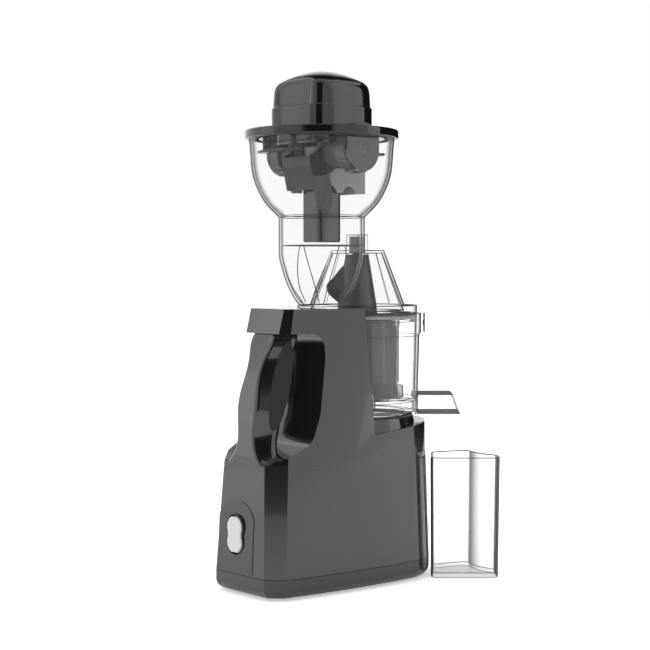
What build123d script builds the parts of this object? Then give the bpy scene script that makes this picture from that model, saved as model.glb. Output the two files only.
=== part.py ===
"""Cold press juicer: a tall motor base with a carrying handle, a clear juicing bowl with its auger,
strainer and wiper cage, a clear hopper with a swinging feed gate and pusher, and a loose pulp cup.

Frame: millimetres, +Z up, origin on the worktop under the drive shaft's axis. -X is the switch end,
+X the bowl end, -Y the side that the pulp chute leans towards. Each piece is written to parts/NODE.step.
"""
from build123d import *
import math
import os

# ---------------------------------------------------------------- base form
TAIL_SECTIONS = (         # height, reach, half width and corner flat of the tail ...
    (14.0, 152.6, 50.8, 14.6),    # ... at the skirt
    (120.0, 147.0, 46.0, 15.8),   # ... at the shoulder
    (243.0, 124.0, 32.5, 8.0),    # ... under the block above the handle
    (265.5, 118.0, 31.3, 6.8),    # ... at the top
)
BOWL_END = 65.0           # from the drive axis forward to the bowl end
BODY_HALF = 65.0          # half width at the drive axis, at the skirt
BODY_HALF_TOP = 59.5
BOWL_END_TOP = 59.0
NOSE_R = 46.0             # plan radius of the two bowl-end corners
WALL = 3.0                # housing wall
TOWER_TOP = 265.5
SEAM_Z = 114.6            # seam line across the tail, below the handle
SKIRT_TOP = 14.0
FLOOR_Z = -7.0            # the worktop, on the scale that all other heights are read from
FOOT_TOP = -5.0           # underside of the skirt

# ---------------------------------------------------------------- handle
RECESS_X = -85.5          # wall that the fingers meet, at its top
RECESS_TOP = 242.0
RECESS_FLOOR = 118.0
SCOOP_DEPTH = 1.8         # oval scoop in each side of the handle
INLAY_T = 1.2             # pad in the bottom of the scoop
HANDLE_ROUND = 6.0

# ---------------------------------------------------------------- switch, skirt and small openings
SWITCH_Y = 7.5            # the switch sits beside the middle of the tail face
SWITCH_Z = 51.0
PANEL_HALF = 26.0
PANEL_TOP = 84.0
PANEL_RISE = 1.5          # gap above the skirt seam
PANEL_DEEP = 1.4
PANEL_PROUD = 0.6
ROCKER_LOBE_R = 10.6
ROCKER_LOBE_OUT = 7.2
ROCKER_WAIST_HALF = 9.5
ROCKER_SWING_R = 18.0     # the ends of the rocker are arcs about its hinge
ROCKER_GAP = 1.0
BEZEL_WIDE = 1.9
SWITCH_HINGE_X = -146.5
SKIRT_ROUND = 10.0
FOOT_R = 9.0
SCREW_R = 1.6
SCREW_HEAD_R = 3.4
SCREW_BOSS_R = 4.6
HOUSING_BOSS_R = 7.6
GLAND_R = 6.5
GLAND_Z = 34.0
VENT_COUNT = 9
VENT_X = -112.0
VENT_PITCH = 7.0
VENT_W = 3.0
VENT_H = 26.0
VENT_Z = 52.0
FLOOR_VENTS = 4
FLOOR_VENT_X = -56.0      # first slot in the floor
FLOOR_VENT_PITCH = 9.0
BEARING_R = 13.0
BEARING_T = 7.0
UPPER_BEARING_Z = 146.0
LOWER_BEARING_Z = 100.0

# ---------------------------------------------------------------- bowl seat and pocket
POCKET_R = 69.0           # round pocket in the tower that the bowl drops into
DECK_Z = 146.0            # height of the sloping deck on the drive axis
DECK_SLOPE = 0.11         # rise of the deck per millimetre towards the bowl end
BOSS_FOOT_R = 61.0
BOSS_TOP_R = 56.5
SEAT_Z = 156.0            # top of the boss
SEAT_T = 1.5              # rubber seat ring
SEAT_BORE_R = 46.0

# ---------------------------------------------------------------- drive train
SHAFT_R = 7.0             # output shaft
HEX_AF = 11.0             # drive hex, across flats
HEX_FOOT = 187.0
HEX_TOP = 204.0
RUN = 0.05                # radial running clearance of a shaft in its bore
PINION_TEETH = 12         # first two stages, module 1
WHEEL_TEETH = 40
LAST_PINION_TEETH = 14    # last stage
LAST_WHEEL_TEETH = 44
LAST_MODULE = 1.25
BACKLASH = 0.15
STAGE_T = 6.0             # face width of each stage
STAGE_Z = (103.0, 112.0, 121.0)
MOTOR_R = 32.0
MOTOR_LOW = 14.0
MOTOR_TOP = 92.0
PLATE_LOW = 96.0
PLATE_TOP = 100.0
COVER_LOW = 130.0
COVER_TOP = 133.0
AXLE_R = 3.0
FLANK_STEPS = 3           # straight steps along each tooth flank
SECOND_X = -(LAST_PINION_TEETH + LAST_WHEEL_TEETH) * LAST_MODULE / 2
FIRST_X = SECOND_X - (PINION_TEETH + WHEEL_TEETH) / 2
MOTOR_X = FIRST_X - (PINION_TEETH + WHEEL_TEETH) / 2

# ---------------------------------------------------------------- bowl
BOWL_LOW = 157.5
BOWL_FLOOR_R = 60.7       # outer radius at the foot and under the rim
BOWL_MOUTH_R = 63.1
BOWL_WALL = 2.6
BOWL_FLOOR_T = 3.0
BOWL_SEAT_IN = 50.0       # inner edge of the foot ring
RIM_R = 64.5
RIM_LOW = 240.0
BOWL_TOP = 259.0
LUG_R = 67.7
LUG_W = 16.0
JUICE_DECK_LOW = 171.0    # floor that the juice collects on
JUICE_DECK_TOP = 174.0
HUB_R = 11.5
HUB_TOP = 186.0
HUB_BORE = 7.6
SEAL_R = 9.0
SEAL_LOW = 180.0
SPOUT_ANGLE = -42.0       # where the pulp duct points, from +X
DUCT_W = 26.0
DUCT_LOW = 158.0
DUCT_TOP = 179.0
DUCT_WALL = 2.0
DUCT_ROOT = 56.0
DUCT_REACH_TOP = 95.0     # the duct's end slants from here at its top ...
DUCT_REACH_LOW = 103.0    # ... to here at its floor
PIPE_ROOT = 62.0          # both outlets begin at this radius
JUICE_ANGLE = 58.0
JUICE_R = 9.0
JUICE_BORE = 7.0
JUICE_REACH = 88.0
JUICE_Z = 184.0
CAP_PIN_UP = 13.0         # the juice cap's hinge above the spout's axis

# ---------------------------------------------------------------- strainer, auger and wiper cage
STRAINER_R = 35.0
STRAINER_BORE = 33.0
STRAINER_LOW = 184.0
STRAINER_PLATE_T = 3.0
STRAINER_TOP = 256.0
WINDOW_COUNT = 16
WINDOW_LOW = 194.0
WINDOW_TOP = 248.0
SCREEN_IN = 32.6
NECK_BORE = 17.6
PULP_IN = 19.0            # the pulp window's inner and outer radius
PULP_OUT = 33.0
PULP_HALF_ANGLE = 22.0
IDLER_ORBIT = 28.0
IDLER_ANGLES = (48.0, -132.0)
IDLER_TEETH = 24
AUGER_TEETH = 32
RING_TEETH = 80
CAGE_GEAR_LOW = 176.0
CAGE_GEAR_TOP = 182.0
RING_R = 47.0
CAGE_LOW = 174.4
CAGE_POST_IN = 38.5
CAGE_POST_OUT = 43.0
CAGE_POST_HALF = 24.0      # half of the angle that one post spans
CAGE_TOP = 252.0
WIPER_IN = 35.4
WIPER_W = 4.0
AUGER_NECK_R = 17.0
AUGER_FOOT_R = 26.0
AUGER_WAIST_R = 19.6
AUGER_HEAD_R = 11.6
AUGER_FOOT_Z = 188.0
AUGER_WAIST_Z = 268.0
AUGER_HEAD_Z = 318.0
AUGER_BORE = 12.0
FLIGHT_R = 31.8
FLIGHT_LOW = 190.0
FLIGHT_TURN = 62.0        # rise of a flight in one turn
FLIGHT_RISE = 66.0
FLIGHT_T = 4.0
AUGER_PIN_R = 5.0
AUGER_TOP = 334.0
HEX_SOCKET_AF = 11.3

# ---------------------------------------------------------------- hopper
HOPPER_X = -48.0          # axis of the feed hopper
HOPPER_WALL = 2.6
HOPPER_LOW = 266.5
NECK_R = 42.5
NECK_LOW = 322.0
NECK_TOP = 354.3
HOPPER_TOP = 431.0
CONE_FOOT_R = 48.5        # cone over the auger
CONE_TOP_R = 27.3
CONE_TOP = 322.0
HOPPER_FLOOR = 262.0
FLANGE_R = 60.4
FLANGE_LOW = 259.5
FLANGE_TOP = 267.0
SKIRT_OUT = 58.5
SKIRT_IN = 56.0
SKIRT_LOW = 251.0
COLLAR_OUT = 38.5
COLLAR_IN = 36.0
COLLAR_BOTTOM = 256.5
BUSH_R = 8.0
BUSH_BOSS_R = 10.6
BUSH_TOP = 337.7

# ---------------------------------------------------------------- hopper lid, gate and pusher
LID_R = 75.6
LID_TOP = 439.3
THROAT_HALF = 33.0        # half size of the square feed opening
THROAT_CORNER = 17.0
THROAT_COLLAR = 37.0
THROAT_LOW = 425.0
GATE_Z = 418.0            # the gate's axle
GATE_HUB_R = 17.0
GATE_DRUM_R = 22.5
DRUM_IN = 42.5            # the ribbed drum lies from here ...
DRUM_OUT = 55.5           # ... to here along Y
HUMP_R = 26.0
EAR_IN = 56.5
EAR_OUT = 59.5
EAR_HALF = 21.0
GATE_PIN_R = 4.0
GUIDE_HALF = 18.0         # the feed chute under the opening
GUIDE_END = 42.0
GUIDE_LOW = 378.0
GUIDE_WALL = 2.0
ARM_IN = 18.6
ARM_OUT = 20.6
FLAP_T = 2.0
STEM_HALF = 15.0
STEM_CORNER = 7.0
STEM_LOW = 329.6
PUSHER_HALF = 41.0
PUSHER_CORNER = 22.0
PUSHER_TOP = 497.3
PUSHER_DOME_R = 60.0
PUSHER_WALL = 3.0
PUSHER_STEP_Z = 461.0

# ---------------------------------------------------------------- pulp cup
CUP_H = 121.0
CUP_WALL = 2.5
CUP_CORNER = 8.0
CUP_TAPER = 1.6           # how far each side leans in over the cup's height

FIT = 0.3                 # gap between pieces that part or move past each other


# ================================================================ helpers
def save(node, *solids):
    """Writes one node, of one or more solids, raised so that the worktop is at zero."""
    raised = [solid.moved(Location((0, 0, -FLOOR_Z))) for solid in solids]
    shape = raised[0] if len(raised) == 1 else Compound(children=raised)
    export_step(shape, f"parts/{node}.step")


def rod(radius, low, high, x=0.0, y=0.0):
    """A vertical cylinder between two heights."""
    return Pos(x, y, low) * Cylinder(radius, high - low, align=(Align.CENTER, Align.CENTER, Align.MIN))


def tube(outer, inner, low, high, x=0.0, y=0.0):
    """A vertical ring between two heights."""
    return rod(outer, low, high, x, y) - rod(inner, low - 1, high + 1, x, y)


def cone(low_radius, high_radius, low, high, x=0.0, y=0.0):
    """A vertical frustum between two heights."""
    return Pos(x, y, low) * Cone(low_radius, high_radius, high - low,
                                 align=(Align.CENTER, Align.CENTER, Align.MIN))


def block(x_low, x_high, y_low, y_high, z_low, z_high):
    """A box between two corners."""
    return Pos((x_low + x_high) / 2, (y_low + y_high) / 2, (z_low + z_high) / 2) * Box(
        x_high - x_low, y_high - y_low, z_high - z_low)


def square_prism(half, corner, low, high, x=0.0, y=0.0):
    """A rounded-square prism between two heights."""
    return Pos(x, y, low) * extrude(RectangleRounded(2 * half, 2 * half, corner), high - low)


def side_prism(outline, y_low, y_high):
    """A flat shape drawn in X and Z, given thickness along Y."""
    face = make_face(Plane.XZ * Polyline(*outline, close=True))
    return Pos(0, y_high, 0) * extrude(face, y_high - y_low, dir=(0, -1, 0))


def turned(profile, x=0.0):
    """A closed profile of (radius, height) edges turned about a vertical axis."""
    return Pos(x, 0, 0) * revolve(make_face(Plane.XZ * profile), Axis.Z)


def around(piece, angle):
    """Turns a piece about the drive axis."""
    return Rot(0, 0, angle) * piece


# ================================================================ base housing
def plan_wire(tail, tail_half, body_half, nose, flat, nose_r):
    """Outline of the base at one height: bevelled tail, sides that swell towards the bowl, round nose."""
    side_tail_x = -tail + flat
    swell = Vector(side_tail_x * 0.45, -(tail_half + (body_half - tail_half) * 0.78))
    near_side = ThreePointArc((side_tail_x, -tail_half), swell, (0, -body_half))
    nose_x = nose - nose_r
    nose_y = body_half - nose_r
    diagonal = nose_r * math.sqrt(0.5)
    near = [
        Line((-tail, -(tail_half - flat)), (side_tail_x, -tail_half)),
        near_side,
        Line((0, -body_half), (nose_x, -body_half)),
        ThreePointArc((nose_x, -body_half), (nose_x + diagonal, -nose_y - diagonal), (nose, -nose_y)),
    ]
    ends = [
        Line((-tail, -(tail_half - flat)), (-tail, tail_half - flat)),
        Line((nose, -nose_y), (nose, nose_y)),
    ]
    near_edges = [part.edge() for part in near]
    far_edges = [edge.mirror(Plane.XZ) for edge in near_edges]
    return Wire(near_edges + far_edges + [part.edge() for part in ends])


def tail_section(height):
    """Reach, half width and corner flat of the tail at a height."""
    low, high = TAIL_SECTIONS[0], TAIL_SECTIONS[1]
    for i in range(1, len(TAIL_SECTIONS) - 1):
        if height > TAIL_SECTIONS[i][0]:
            low, high = TAIL_SECTIONS[i], TAIL_SECTIONS[i + 1]
    share = (height - low[0]) / (high[0] - low[0])
    return [a + (b - a) * share for a, b in zip(low[1:], high[1:])]


def plan_at(height, inset=0.0):
    """The base outline at a height between the skirt and the tower top, drawn inwards by inset."""
    share = (height - SKIRT_TOP) / (TOWER_TOP - SKIRT_TOP)
    reach, tail_half, flat = tail_section(height)
    body_half = BODY_HALF + (BODY_HALF_TOP - BODY_HALF) * share - inset
    nose = BOWL_END + (BOWL_END_TOP - BOWL_END) * share - inset
    wire = plan_wire(reach - inset, tail_half - inset, body_half, nose, flat - 0.6 * inset, NOSE_R - inset)
    return wire.moved(Location((0, 0, height)))


def recess_face(grow=0.0):
    """Side view of the hand recess behind the handle, made larger by grow."""
    left = -BOWL_END - 110
    points = [
        (left, RECESS_TOP), (RECESS_X, RECESS_TOP), (RECESS_X, 218), (-94, 166), (-104.5, 139), (-132, 126),
        (-148, RECESS_FLOOR), (left, RECESS_FLOOR),
    ]
    face = make_face(Plane.XZ * Polyline(*points, close=True))
    bends = face.vertices().filter_by(lambda v: v.X > left + 1 and v.Z < RECESS_TOP - 1)
    face = fillet(bends, 20)
    corner = face.vertices().filter_by(lambda v: v.X > RECESS_X - 1 and v.Z > RECESS_TOP - 1)
    face = fillet(corner, 12)
    return offset(face, grow, kind=Kind.INTERSECTION) if grow else face


def recess_prism(grow=0.0):
    """The hand recess through the full width of the base."""
    half = BODY_HALF + 10
    return Pos(0, half, 0) * extrude(recess_face(grow), 2 * half, dir=(0, -1, 0))


def deck_cut(inset):
    """Everything that the round pocket and the sloping deck take away, less the boss under the bowl."""
    tilt = math.degrees(math.atan(DECK_SLOPE))
    above = Pos(0, 0, DECK_Z - inset) * Rot(0, -tilt, 0) * Box(
        400, 400, 300, align=(Align.CENTER, Align.CENTER, Align.MIN))
    pocket = rod(POCKET_R + inset, 60, TOWER_TOP + 60)
    boss = cone(BOSS_FOOT_R - inset, BOSS_TOP_R - inset, DECK_Z - 8 - inset, SEAT_Z - inset)
    return (pocket & above) - boss


def base_form(inset=0.0):
    """Outer form of the housing, or with inset its inner form."""
    low = SKIRT_TOP if inset == 0 else SKIRT_TOP - 1
    heights = [low] + [section[0] for section in TAIL_SECTIONS[1:-1]] + [TOWER_TOP - inset]
    column = Solid.make_loft([plan_at(height, inset) for height in heights], ruled=True)
    return column - deck_cut(inset) - recess_prism(inset)


def front_prism(face, x_low, x_high):
    """A flat shape drawn in Y and Z, given thickness along X."""
    return Pos(x_low, 0, 0) * extrude(Plane.YZ * face, x_high - x_low, dir=(1, 0, 0))


def tail_x(height):
    """Where the leaning switch face stands at a height."""
    return -tail_section(height)[0]


def tail_skin(proud, deep):
    """The slab of space between two offsets of the leaning switch face."""
    foot = tail_x(SKIRT_TOP)
    head = tail_x(SEAM_Z)
    return side_prism([(foot - proud, SKIRT_TOP), (head - proud, SEAM_Z),
                       (head + deep, SEAM_Z), (foot + deep, SKIRT_TOP)], -60, 60)


def arch_face(half, top, grow=0.0):
    """The arch-topped panel outline round the switch."""
    low = SKIRT_TOP + PANEL_RISE - grow
    width = half + grow
    spring = top - 16
    left = SWITCH_Y - width
    right = SWITCH_Y + width
    outline = [
        Line((left, low), (right, low)),
        Line((right, low), (right, spring)),
        ThreePointArc((right, spring), (SWITCH_Y, top + grow), (left, spring)),
        Line((left, spring), (left, low)),
    ]
    return make_face(outline)


def peanut_face(grow=0.0):
    """Outline of the rocker: two round lobes joined by a waist."""
    lobe = Circle(ROCKER_LOBE_R + grow)
    waist = Rectangle(2 * (ROCKER_WAIST_HALF + grow), 2 * ROCKER_LOBE_OUT)
    high = Pos(SWITCH_Y, SWITCH_Z + ROCKER_LOBE_OUT) * lobe
    low = Pos(SWITCH_Y, SWITCH_Z - ROCKER_LOBE_OUT) * lobe
    return high + low + Pos(SWITCH_Y, SWITCH_Z) * waist


def make_main_housing():
    """The tower and lower body as one thin shell, with its bosses, bearing seat and openings."""
    shell = base_form() - base_form(WALL)
    seat = rod(BEARING_R + 4, UPPER_BEARING_Z - 3, SEAT_Z - 1)
    shell += seat
    shell -= rod(BEARING_R, UPPER_BEARING_Z - 10, UPPER_BEARING_Z + BEARING_T)
    shell -= rod(SHAFT_R + 1, UPPER_BEARING_Z, SEAT_Z + 5)
    for x, y in screw_spots():
        boss = rod(HOUSING_BOSS_R, SKIRT_TOP, SKIRT_TOP + 22, x, y) & base_form(1.0)
        shell += boss
        shell -= rod(SCREW_R, SKIRT_TOP - 5, SKIRT_TOP + 14, x, y)
    shell -= front_prism(arch_face(PANEL_HALF, PANEL_TOP), -170, -100) & tail_skin(10, PANEL_DEEP)
    shell -= front_prism(peanut_face(BEZEL_WIDE), -170, -130)
    shell -= rod(GLAND_R, -8, 12).moved(Location((BOWL_END - 6, 0, GLAND_Z), (0, 90, 0)))
    shell -= shoulder_groove()
    for piece in vent_slots():
        shell -= piece
    return shell


def shoulder_groove():
    """The thin seam line across the tail below the handle's foot."""
    ring = Pos(0, 0, SEAM_Z) * (Box(400, 400, 0.8) - Pos(100, 0, 0) * Box(400, 500, 2))
    core = base_form(0.7)
    return ring - core


def screw_spots():
    """Plan positions of the four screws that hold the skirt."""
    return [(-124, -44.5), (-124, 44.5), (45, -45), (45, 45)]


def vent_slots():
    """Cooling slots on the far side and near side, low on the body."""
    slots = []
    for i in range(VENT_COUNT):
        slot = Pos(VENT_X + VENT_PITCH * i, 0, VENT_Z) * Box(VENT_W, 200, VENT_H)
        slots.append(slot - Pos(0, 0, VENT_Z) * Box(400, 90, 100) - Pos(0, -100, VENT_Z) * Box(400, 200, 100))
    return slots


def make_bottom_cover():
    """The skirt and floor: a shallow tray with a rounded lower edge and a tongue inside the housing."""
    outline = make_face(plan_at(SKIRT_TOP).moved(Location((0, 0, -SKIRT_TOP + FOOT_TOP))))
    body = extrude(outline, SKIRT_TOP - 0.5 - FOOT_TOP, dir=(0, 0, 1))
    low_edges = body.edges().filter_by(lambda e: e.bounding_box().max.Z < FOOT_TOP + 0.1)
    body = fillet(low_edges, SKIRT_ROUND)
    inner = make_face(plan_at(SKIRT_TOP, WALL).moved(Location((0, 0, -SKIRT_TOP + FOOT_TOP + WALL))))
    room = extrude(inner, 60, dir=(0, 0, 1))
    rounded = room.edges().filter_by(lambda e: e.bounding_box().max.Z < FOOT_TOP + WALL + 0.1)
    room = fillet(rounded, SKIRT_ROUND - WALL)
    body -= room
    tongue_out = make_face(plan_at(SKIRT_TOP, WALL + 0.3).moved(Location((0, 0, -3.5))))
    tongue_in = make_face(plan_at(SKIRT_TOP, WALL + 2.3).moved(Location((0, 0, -4.5))))
    tongue = extrude(tongue_out, 7, dir=(0, 0, 1)) - extrude(tongue_in, 10, dir=(0, 0, 1))
    link_out = make_face(plan_at(SKIRT_TOP, 1.0).moved(Location((0, 0, -3.5))))
    link = extrude(link_out, 2.5, dir=(0, 0, 1)) - extrude(tongue_in, 10, dir=(0, 0, 1))
    body += tongue
    body += link
    for x, y in screw_spots():
        body -= rod(HOUSING_BOSS_R + 0.4, SKIRT_TOP, SKIRT_TOP + 20, x, y)
        body += rod(SCREW_BOSS_R, FOOT_TOP + WALL - 0.5, SKIRT_TOP, x, y)
        body -= rod(SCREW_R, FLOOR_Z, 40, x, y)
        body -= rod(SCREW_HEAD_R, FLOOR_Z, FOOT_TOP + WALL + 3, x, y)
    for i in range(FLOOR_VENTS):
        body -= Pos(FLOOR_VENT_X + FLOOR_VENT_PITCH * i, 0, FOOT_TOP) * Box(4, 46, 12)
    return body


def make_rubber_feet():
    """Four round feet near the corners of the skirt and one under the drive axis."""
    feet = []
    for x, y in [(-118, -28), (-118, 28), (34, -36), (34, 36), (0, 0)]:
        feet.append(rod(FOOT_R, FLOOR_Z, FOOT_TOP, x, y))
    return feet


def handle_section(height, back, back_half, front, front_half):
    """Rounded outline of the handle at one height, between its back face and its finger side."""
    corners = [(back, -back_half), (front, -front_half), (front, front_half), (back, back_half)]
    face = make_face(Polyline(*corners, close=True))
    face = fillet(face.vertices(), HANDLE_ROUND)
    return Pos(0, 0, height) * face


def make_handle_form():
    """The carrying handle as a smooth column that flares into the shoulder."""
    foot = handle_section(RECESS_FLOOR - 1, -147.0, 29, -126.0, 33)
    flare = handle_section(125, -146.8, 19, -125.0, 32)
    ankle = handle_section(133, -146.3, 14, -124.0, 31)
    low = handle_section(160, -145.0, 13, -119.5, 31)
    waist = handle_section(187, -141.6, 13, -114.0, 31)
    neck = handle_section(222, -130.5, 13, -105.0, 31)
    head = handle_section(RECESS_TOP + 1, -122.0, 13, -99.0, 31)
    return loft([foot, flare, ankle, low, waist, neck, head])


def make_handle_grip():
    """The handle, cut to the recess it stands in, with an oval scoop in each side."""
    grip = make_handle_form() & recess_prism()
    for scoop in grip_ovals(20):
        grip -= scoop
    return grip


def grip_ovals(thick):
    """Two oval slabs that start at the bottom of the handle's scoops."""
    side = Plane(origin=(-122, -25, 193), x_dir=(0.804, -0.565, -0.188), z_dir=(-0.55, -0.826, 0.129))
    near = extrude(side.offset(-SCOOP_DEPTH) * Ellipse(9, 43), thick, dir=side.z_dir)
    return [near, near.mirror(Plane.XZ)]


def make_grip_inlays():
    """The oval pads in the bottoms of the two scoops."""
    return grip_ovals(INLAY_T)


# ================================================================ switch and electrics
def swing_barrel(radius):
    """A cylinder along Y about the rocker's hinge."""
    barrel = Cylinder(radius, 80)
    return barrel.moved(Location((SWITCH_HINGE_X, SWITCH_Y, SWITCH_Z), (90, 0, 0)))


def make_switch_panel():
    """The arch-shaped plate let into the tail face."""
    plate = front_prism(arch_face(PANEL_HALF, PANEL_TOP), -170, -100) & tail_skin(PANEL_PROUD, PANEL_DEEP)
    return plate - front_prism(peanut_face(BEZEL_WIDE), -170, -100)


def make_switch_bezel():
    """The collar round the rocker."""
    face = tail_x(SWITCH_Z)
    ring = front_prism(peanut_face(BEZEL_WIDE) - peanut_face(ROCKER_GAP), face - 2.1, face + 5.1)
    return ring


def make_switch_rocker():
    """The two-lobed rocker, its ends turned about the hinge, with a softened front edge."""
    face = tail_x(SWITCH_Z)
    body = front_prism(peanut_face(), face - 3.3, face + 6.6)
    front = body.faces().sort_by(Axis.X)[0]
    body = chamfer(front.edges(), 0.8)
    return body & swing_barrel(ROCKER_SWING_R)


def make_switch_module():
    """The switch body behind the panel: an open box with its contact block and three terminals."""
    face = tail_x(SWITCH_Z)
    outer = front_prism(peanut_face(BEZEL_WIDE), face + 5.1, face + 25)
    room = front_prism(peanut_face(ROCKER_GAP), face + 4, face + 14)
    body = outer - room
    for i in range(3):
        tag = Pos(face + 25.5, SWITCH_Y, SWITCH_Z - 9 + 9 * i) * Box(3, 5, 1)
        body += tag
    return body


def make_cord_gland():
    """The strain relief for the supply cord, in the bowl-end wall."""
    x = BOWL_END - 6
    sleeve = Cylinder(GLAND_R, 14).moved(Location((x, 0, GLAND_Z), (0, 90, 0)))
    flange = Cylinder(GLAND_R + 2, 2).moved(Location((BOWL_END - 5.2, 0, GLAND_Z), (0, 90, 0)))
    bore = Cylinder(3.6, 30).moved(Location((x, 0, GLAND_Z), (0, 90, 0)))
    return sleeve + flange - bore


def make_control_board():
    """The speed control board on two posts from the floor, with its parts."""
    board = block(18, 19.6, -26, 26, 14, 74)
    parts = [block(19.6, 34, -20, -2, 22, 40), block(19.6, 27, 4, 18, 20, 34), block(19.6, 29, 2, 20, 44, 64)]
    for part in parts:
        board += part
    for i in range(2):
        can = Cylinder(5, 16).moved(Location((27.5, -16 + 13 * i, 56), (0, 90, 0)))
        board += can
    for y in (-22, 22):
        board += block(14, 24, y - 3, y + 3, FOOT_TOP + WALL, 18)
    return board


def make_interlock_switch():
    """The safety switch under the seat, pushed when a bowl is in place."""
    body = block(-10, 10, 21, 28, COVER_TOP, COVER_TOP + 12)
    lever = block(-8, 9, 22.5, 26.5, COVER_TOP + 12, COVER_TOP + 13)
    button = rod(1.5, COVER_TOP + 12.5, SEAT_Z - WALL - 1, 6, 24.5)
    return body + lever + button


# ================================================================ drive train
def tooth_half_angle(radius, teeth, module, thin):
    """Half the angle that an involute tooth spans at a radius."""
    pitch_r = teeth * module / 2
    base_r = pitch_r * math.cos(math.radians(20))
    roll = math.sqrt(max((radius / base_r) ** 2 - 1, 0))
    pitch_roll = math.sqrt((pitch_r / base_r) ** 2 - 1)
    involute = roll - math.atan(roll)
    pitch_involute = pitch_roll - math.atan(pitch_roll)
    return math.pi / (2 * teeth) - thin / (2 * pitch_r) + pitch_involute - involute


def gear_face(teeth, module, first_tooth=0.0, thin=BACKLASH, inside=False):
    """Outline of a spur gear with a tooth centred on first_tooth degrees; inside gives a ring's bore."""
    pitch_r = teeth * module / 2
    tip_r = pitch_r + module
    root_r = pitch_r - 1.25 * module
    if inside:
        tip_r = pitch_r + 1.25 * module
        root_r = pitch_r - module
    base_r = pitch_r * math.cos(math.radians(20))
    start_r = max(root_r, base_r)
    radii = [start_r + (tip_r - start_r) * i / FLANK_STEPS for i in range(FLANK_STEPS + 1)]
    points = []
    for tooth in range(teeth):
        middle = math.radians(first_tooth) + 2 * math.pi * tooth / teeth
        rising = [(r, middle - tooth_half_angle(r, teeth, module, thin)) for r in radii]
        falling = [(r, middle + tooth_half_angle(r, teeth, module, thin)) for r in reversed(radii)]
        flank = rising + falling
        if root_r < start_r - 0.05:
            flank = [(root_r, flank[0][1])] + flank + [(root_r, flank[-1][1])]
        points += [(r * math.cos(a), r * math.sin(a)) for r, a in flank]
    return make_face(Polyline(*points, close=True))


def gear(teeth, module, low, high, x=0.0, first_tooth=0.0, bore=0.0):
    """A spur gear between two heights."""
    solid = Pos(x, 0, low) * extrude(gear_face(teeth, module, first_tooth), high - low, dir=(0, 0, 1))
    return solid - rod(bore, low - 1, high + 1, x) if bore else solid


def make_motor_can():
    """The motor's steel can with its top bearing plate."""
    can = tube(MOTOR_R, MOTOR_R - 1.5, MOTOR_LOW, MOTOR_TOP, MOTOR_X)
    lid = rod(MOTOR_R, MOTOR_TOP - 3, MOTOR_TOP, MOTOR_X) - rod(4.0 + RUN, 0, 200, MOTOR_X)
    can += lid
    for i in range(6):
        window = Pos(MOTOR_X, 0, MOTOR_LOW + 62) * (Rot(0, 0, 60 * i) * (Pos(MOTOR_R, 0, 0) * Box(10, 8, 9)))
        can -= window
    return can


def make_motor_end_bell():
    """The lower bearing plate of the motor."""
    bell = rod(MOTOR_R, MOTOR_LOW - 3, MOTOR_LOW, MOTOR_X) + rod(9, MOTOR_LOW - 3, MOTOR_LOW + 5, MOTOR_X)
    return bell - rod(4.0 + RUN, MOTOR_LOW - 1, 200, MOTOR_X)


def make_motor_rotor():
    """The rotor's laminated core, cut into poles, with its commutator."""
    core = rod(20, 28, 70, MOTOR_X)
    for i in range(12):
        core -= Pos(MOTOR_X, 0, 49) * (Rot(0, 0, 30 * i) * (Pos(18.5, 0, 0) * Box(9, 1.6, 50)))
    core += rod(10, 22, 28, MOTOR_X)
    return core - rod(4, 0, 100, MOTOR_X)


def make_motor_shaft():
    """The motor's shaft."""
    return rod(4, MOTOR_LOW, STAGE_Z[0] + STAGE_T + 1, MOTOR_X)


def make_cooling_fan():
    """The fan on the motor's shaft."""
    fan = rod(9, 73, 85, MOTOR_X)
    for i in range(9):
        fan += Pos(MOTOR_X, 0, 80) * (Rot(0, 0, 40 * i) * (Pos(17, 0, 0) * (Rot(0, 0, 14) * Box(18, 1.6, 8))))
    return fan - rod(4, 0, 100, MOTOR_X)


def make_motor_mounts():
    """Four rubber blocks under the motor."""
    return [rod(6, FOOT_TOP + WALL, MOTOR_LOW - 3, MOTOR_X + x, y) for x in (-20, 20) for y in (-20, 20)]


def make_motor_pinion():
    """The pinion on the motor's shaft."""
    return gear(PINION_TEETH, 1.0, STAGE_Z[0] - 1, STAGE_Z[0] + STAGE_T + 1, MOTOR_X, 0, 4)


def make_first_gear():
    """The first reduction wheel and its pinion, in one piece."""
    wheel = gear(WHEEL_TEETH, 1.0, STAGE_Z[0], STAGE_Z[0] + STAGE_T, FIRST_X, 180 + 180 / WHEEL_TEETH)
    pinion = gear(PINION_TEETH, 1.0, STAGE_Z[1] - 1, STAGE_Z[1] + STAGE_T + 1, FIRST_X, 0)
    hub = rod(4.7, STAGE_Z[0] - 2, STAGE_Z[1], FIRST_X)
    return wheel + hub + pinion - rod(AXLE_R + RUN, 0, 200, FIRST_X)


def make_second_gear():
    """The second reduction wheel and the last pinion, in one piece."""
    wheel = gear(WHEEL_TEETH, 1.0, STAGE_Z[1], STAGE_Z[1] + STAGE_T, SECOND_X, 180 + 180 / WHEEL_TEETH)
    pinion = gear(LAST_PINION_TEETH, LAST_MODULE, STAGE_Z[2] - 1, STAGE_Z[2] + STAGE_T + 1, SECOND_X, 0)
    hub = rod(6.5, STAGE_Z[1] - 2, STAGE_Z[2], SECOND_X)
    return wheel + hub + pinion - rod(AXLE_R + RUN, 0, 200, SECOND_X)


def make_output_gear():
    """The last wheel, on the drive shaft."""
    first = 180 + 180 / LAST_WHEEL_TEETH
    return gear(LAST_WHEEL_TEETH, LAST_MODULE, STAGE_Z[2], STAGE_Z[2] + STAGE_T, 0, first, SHAFT_R)


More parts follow.
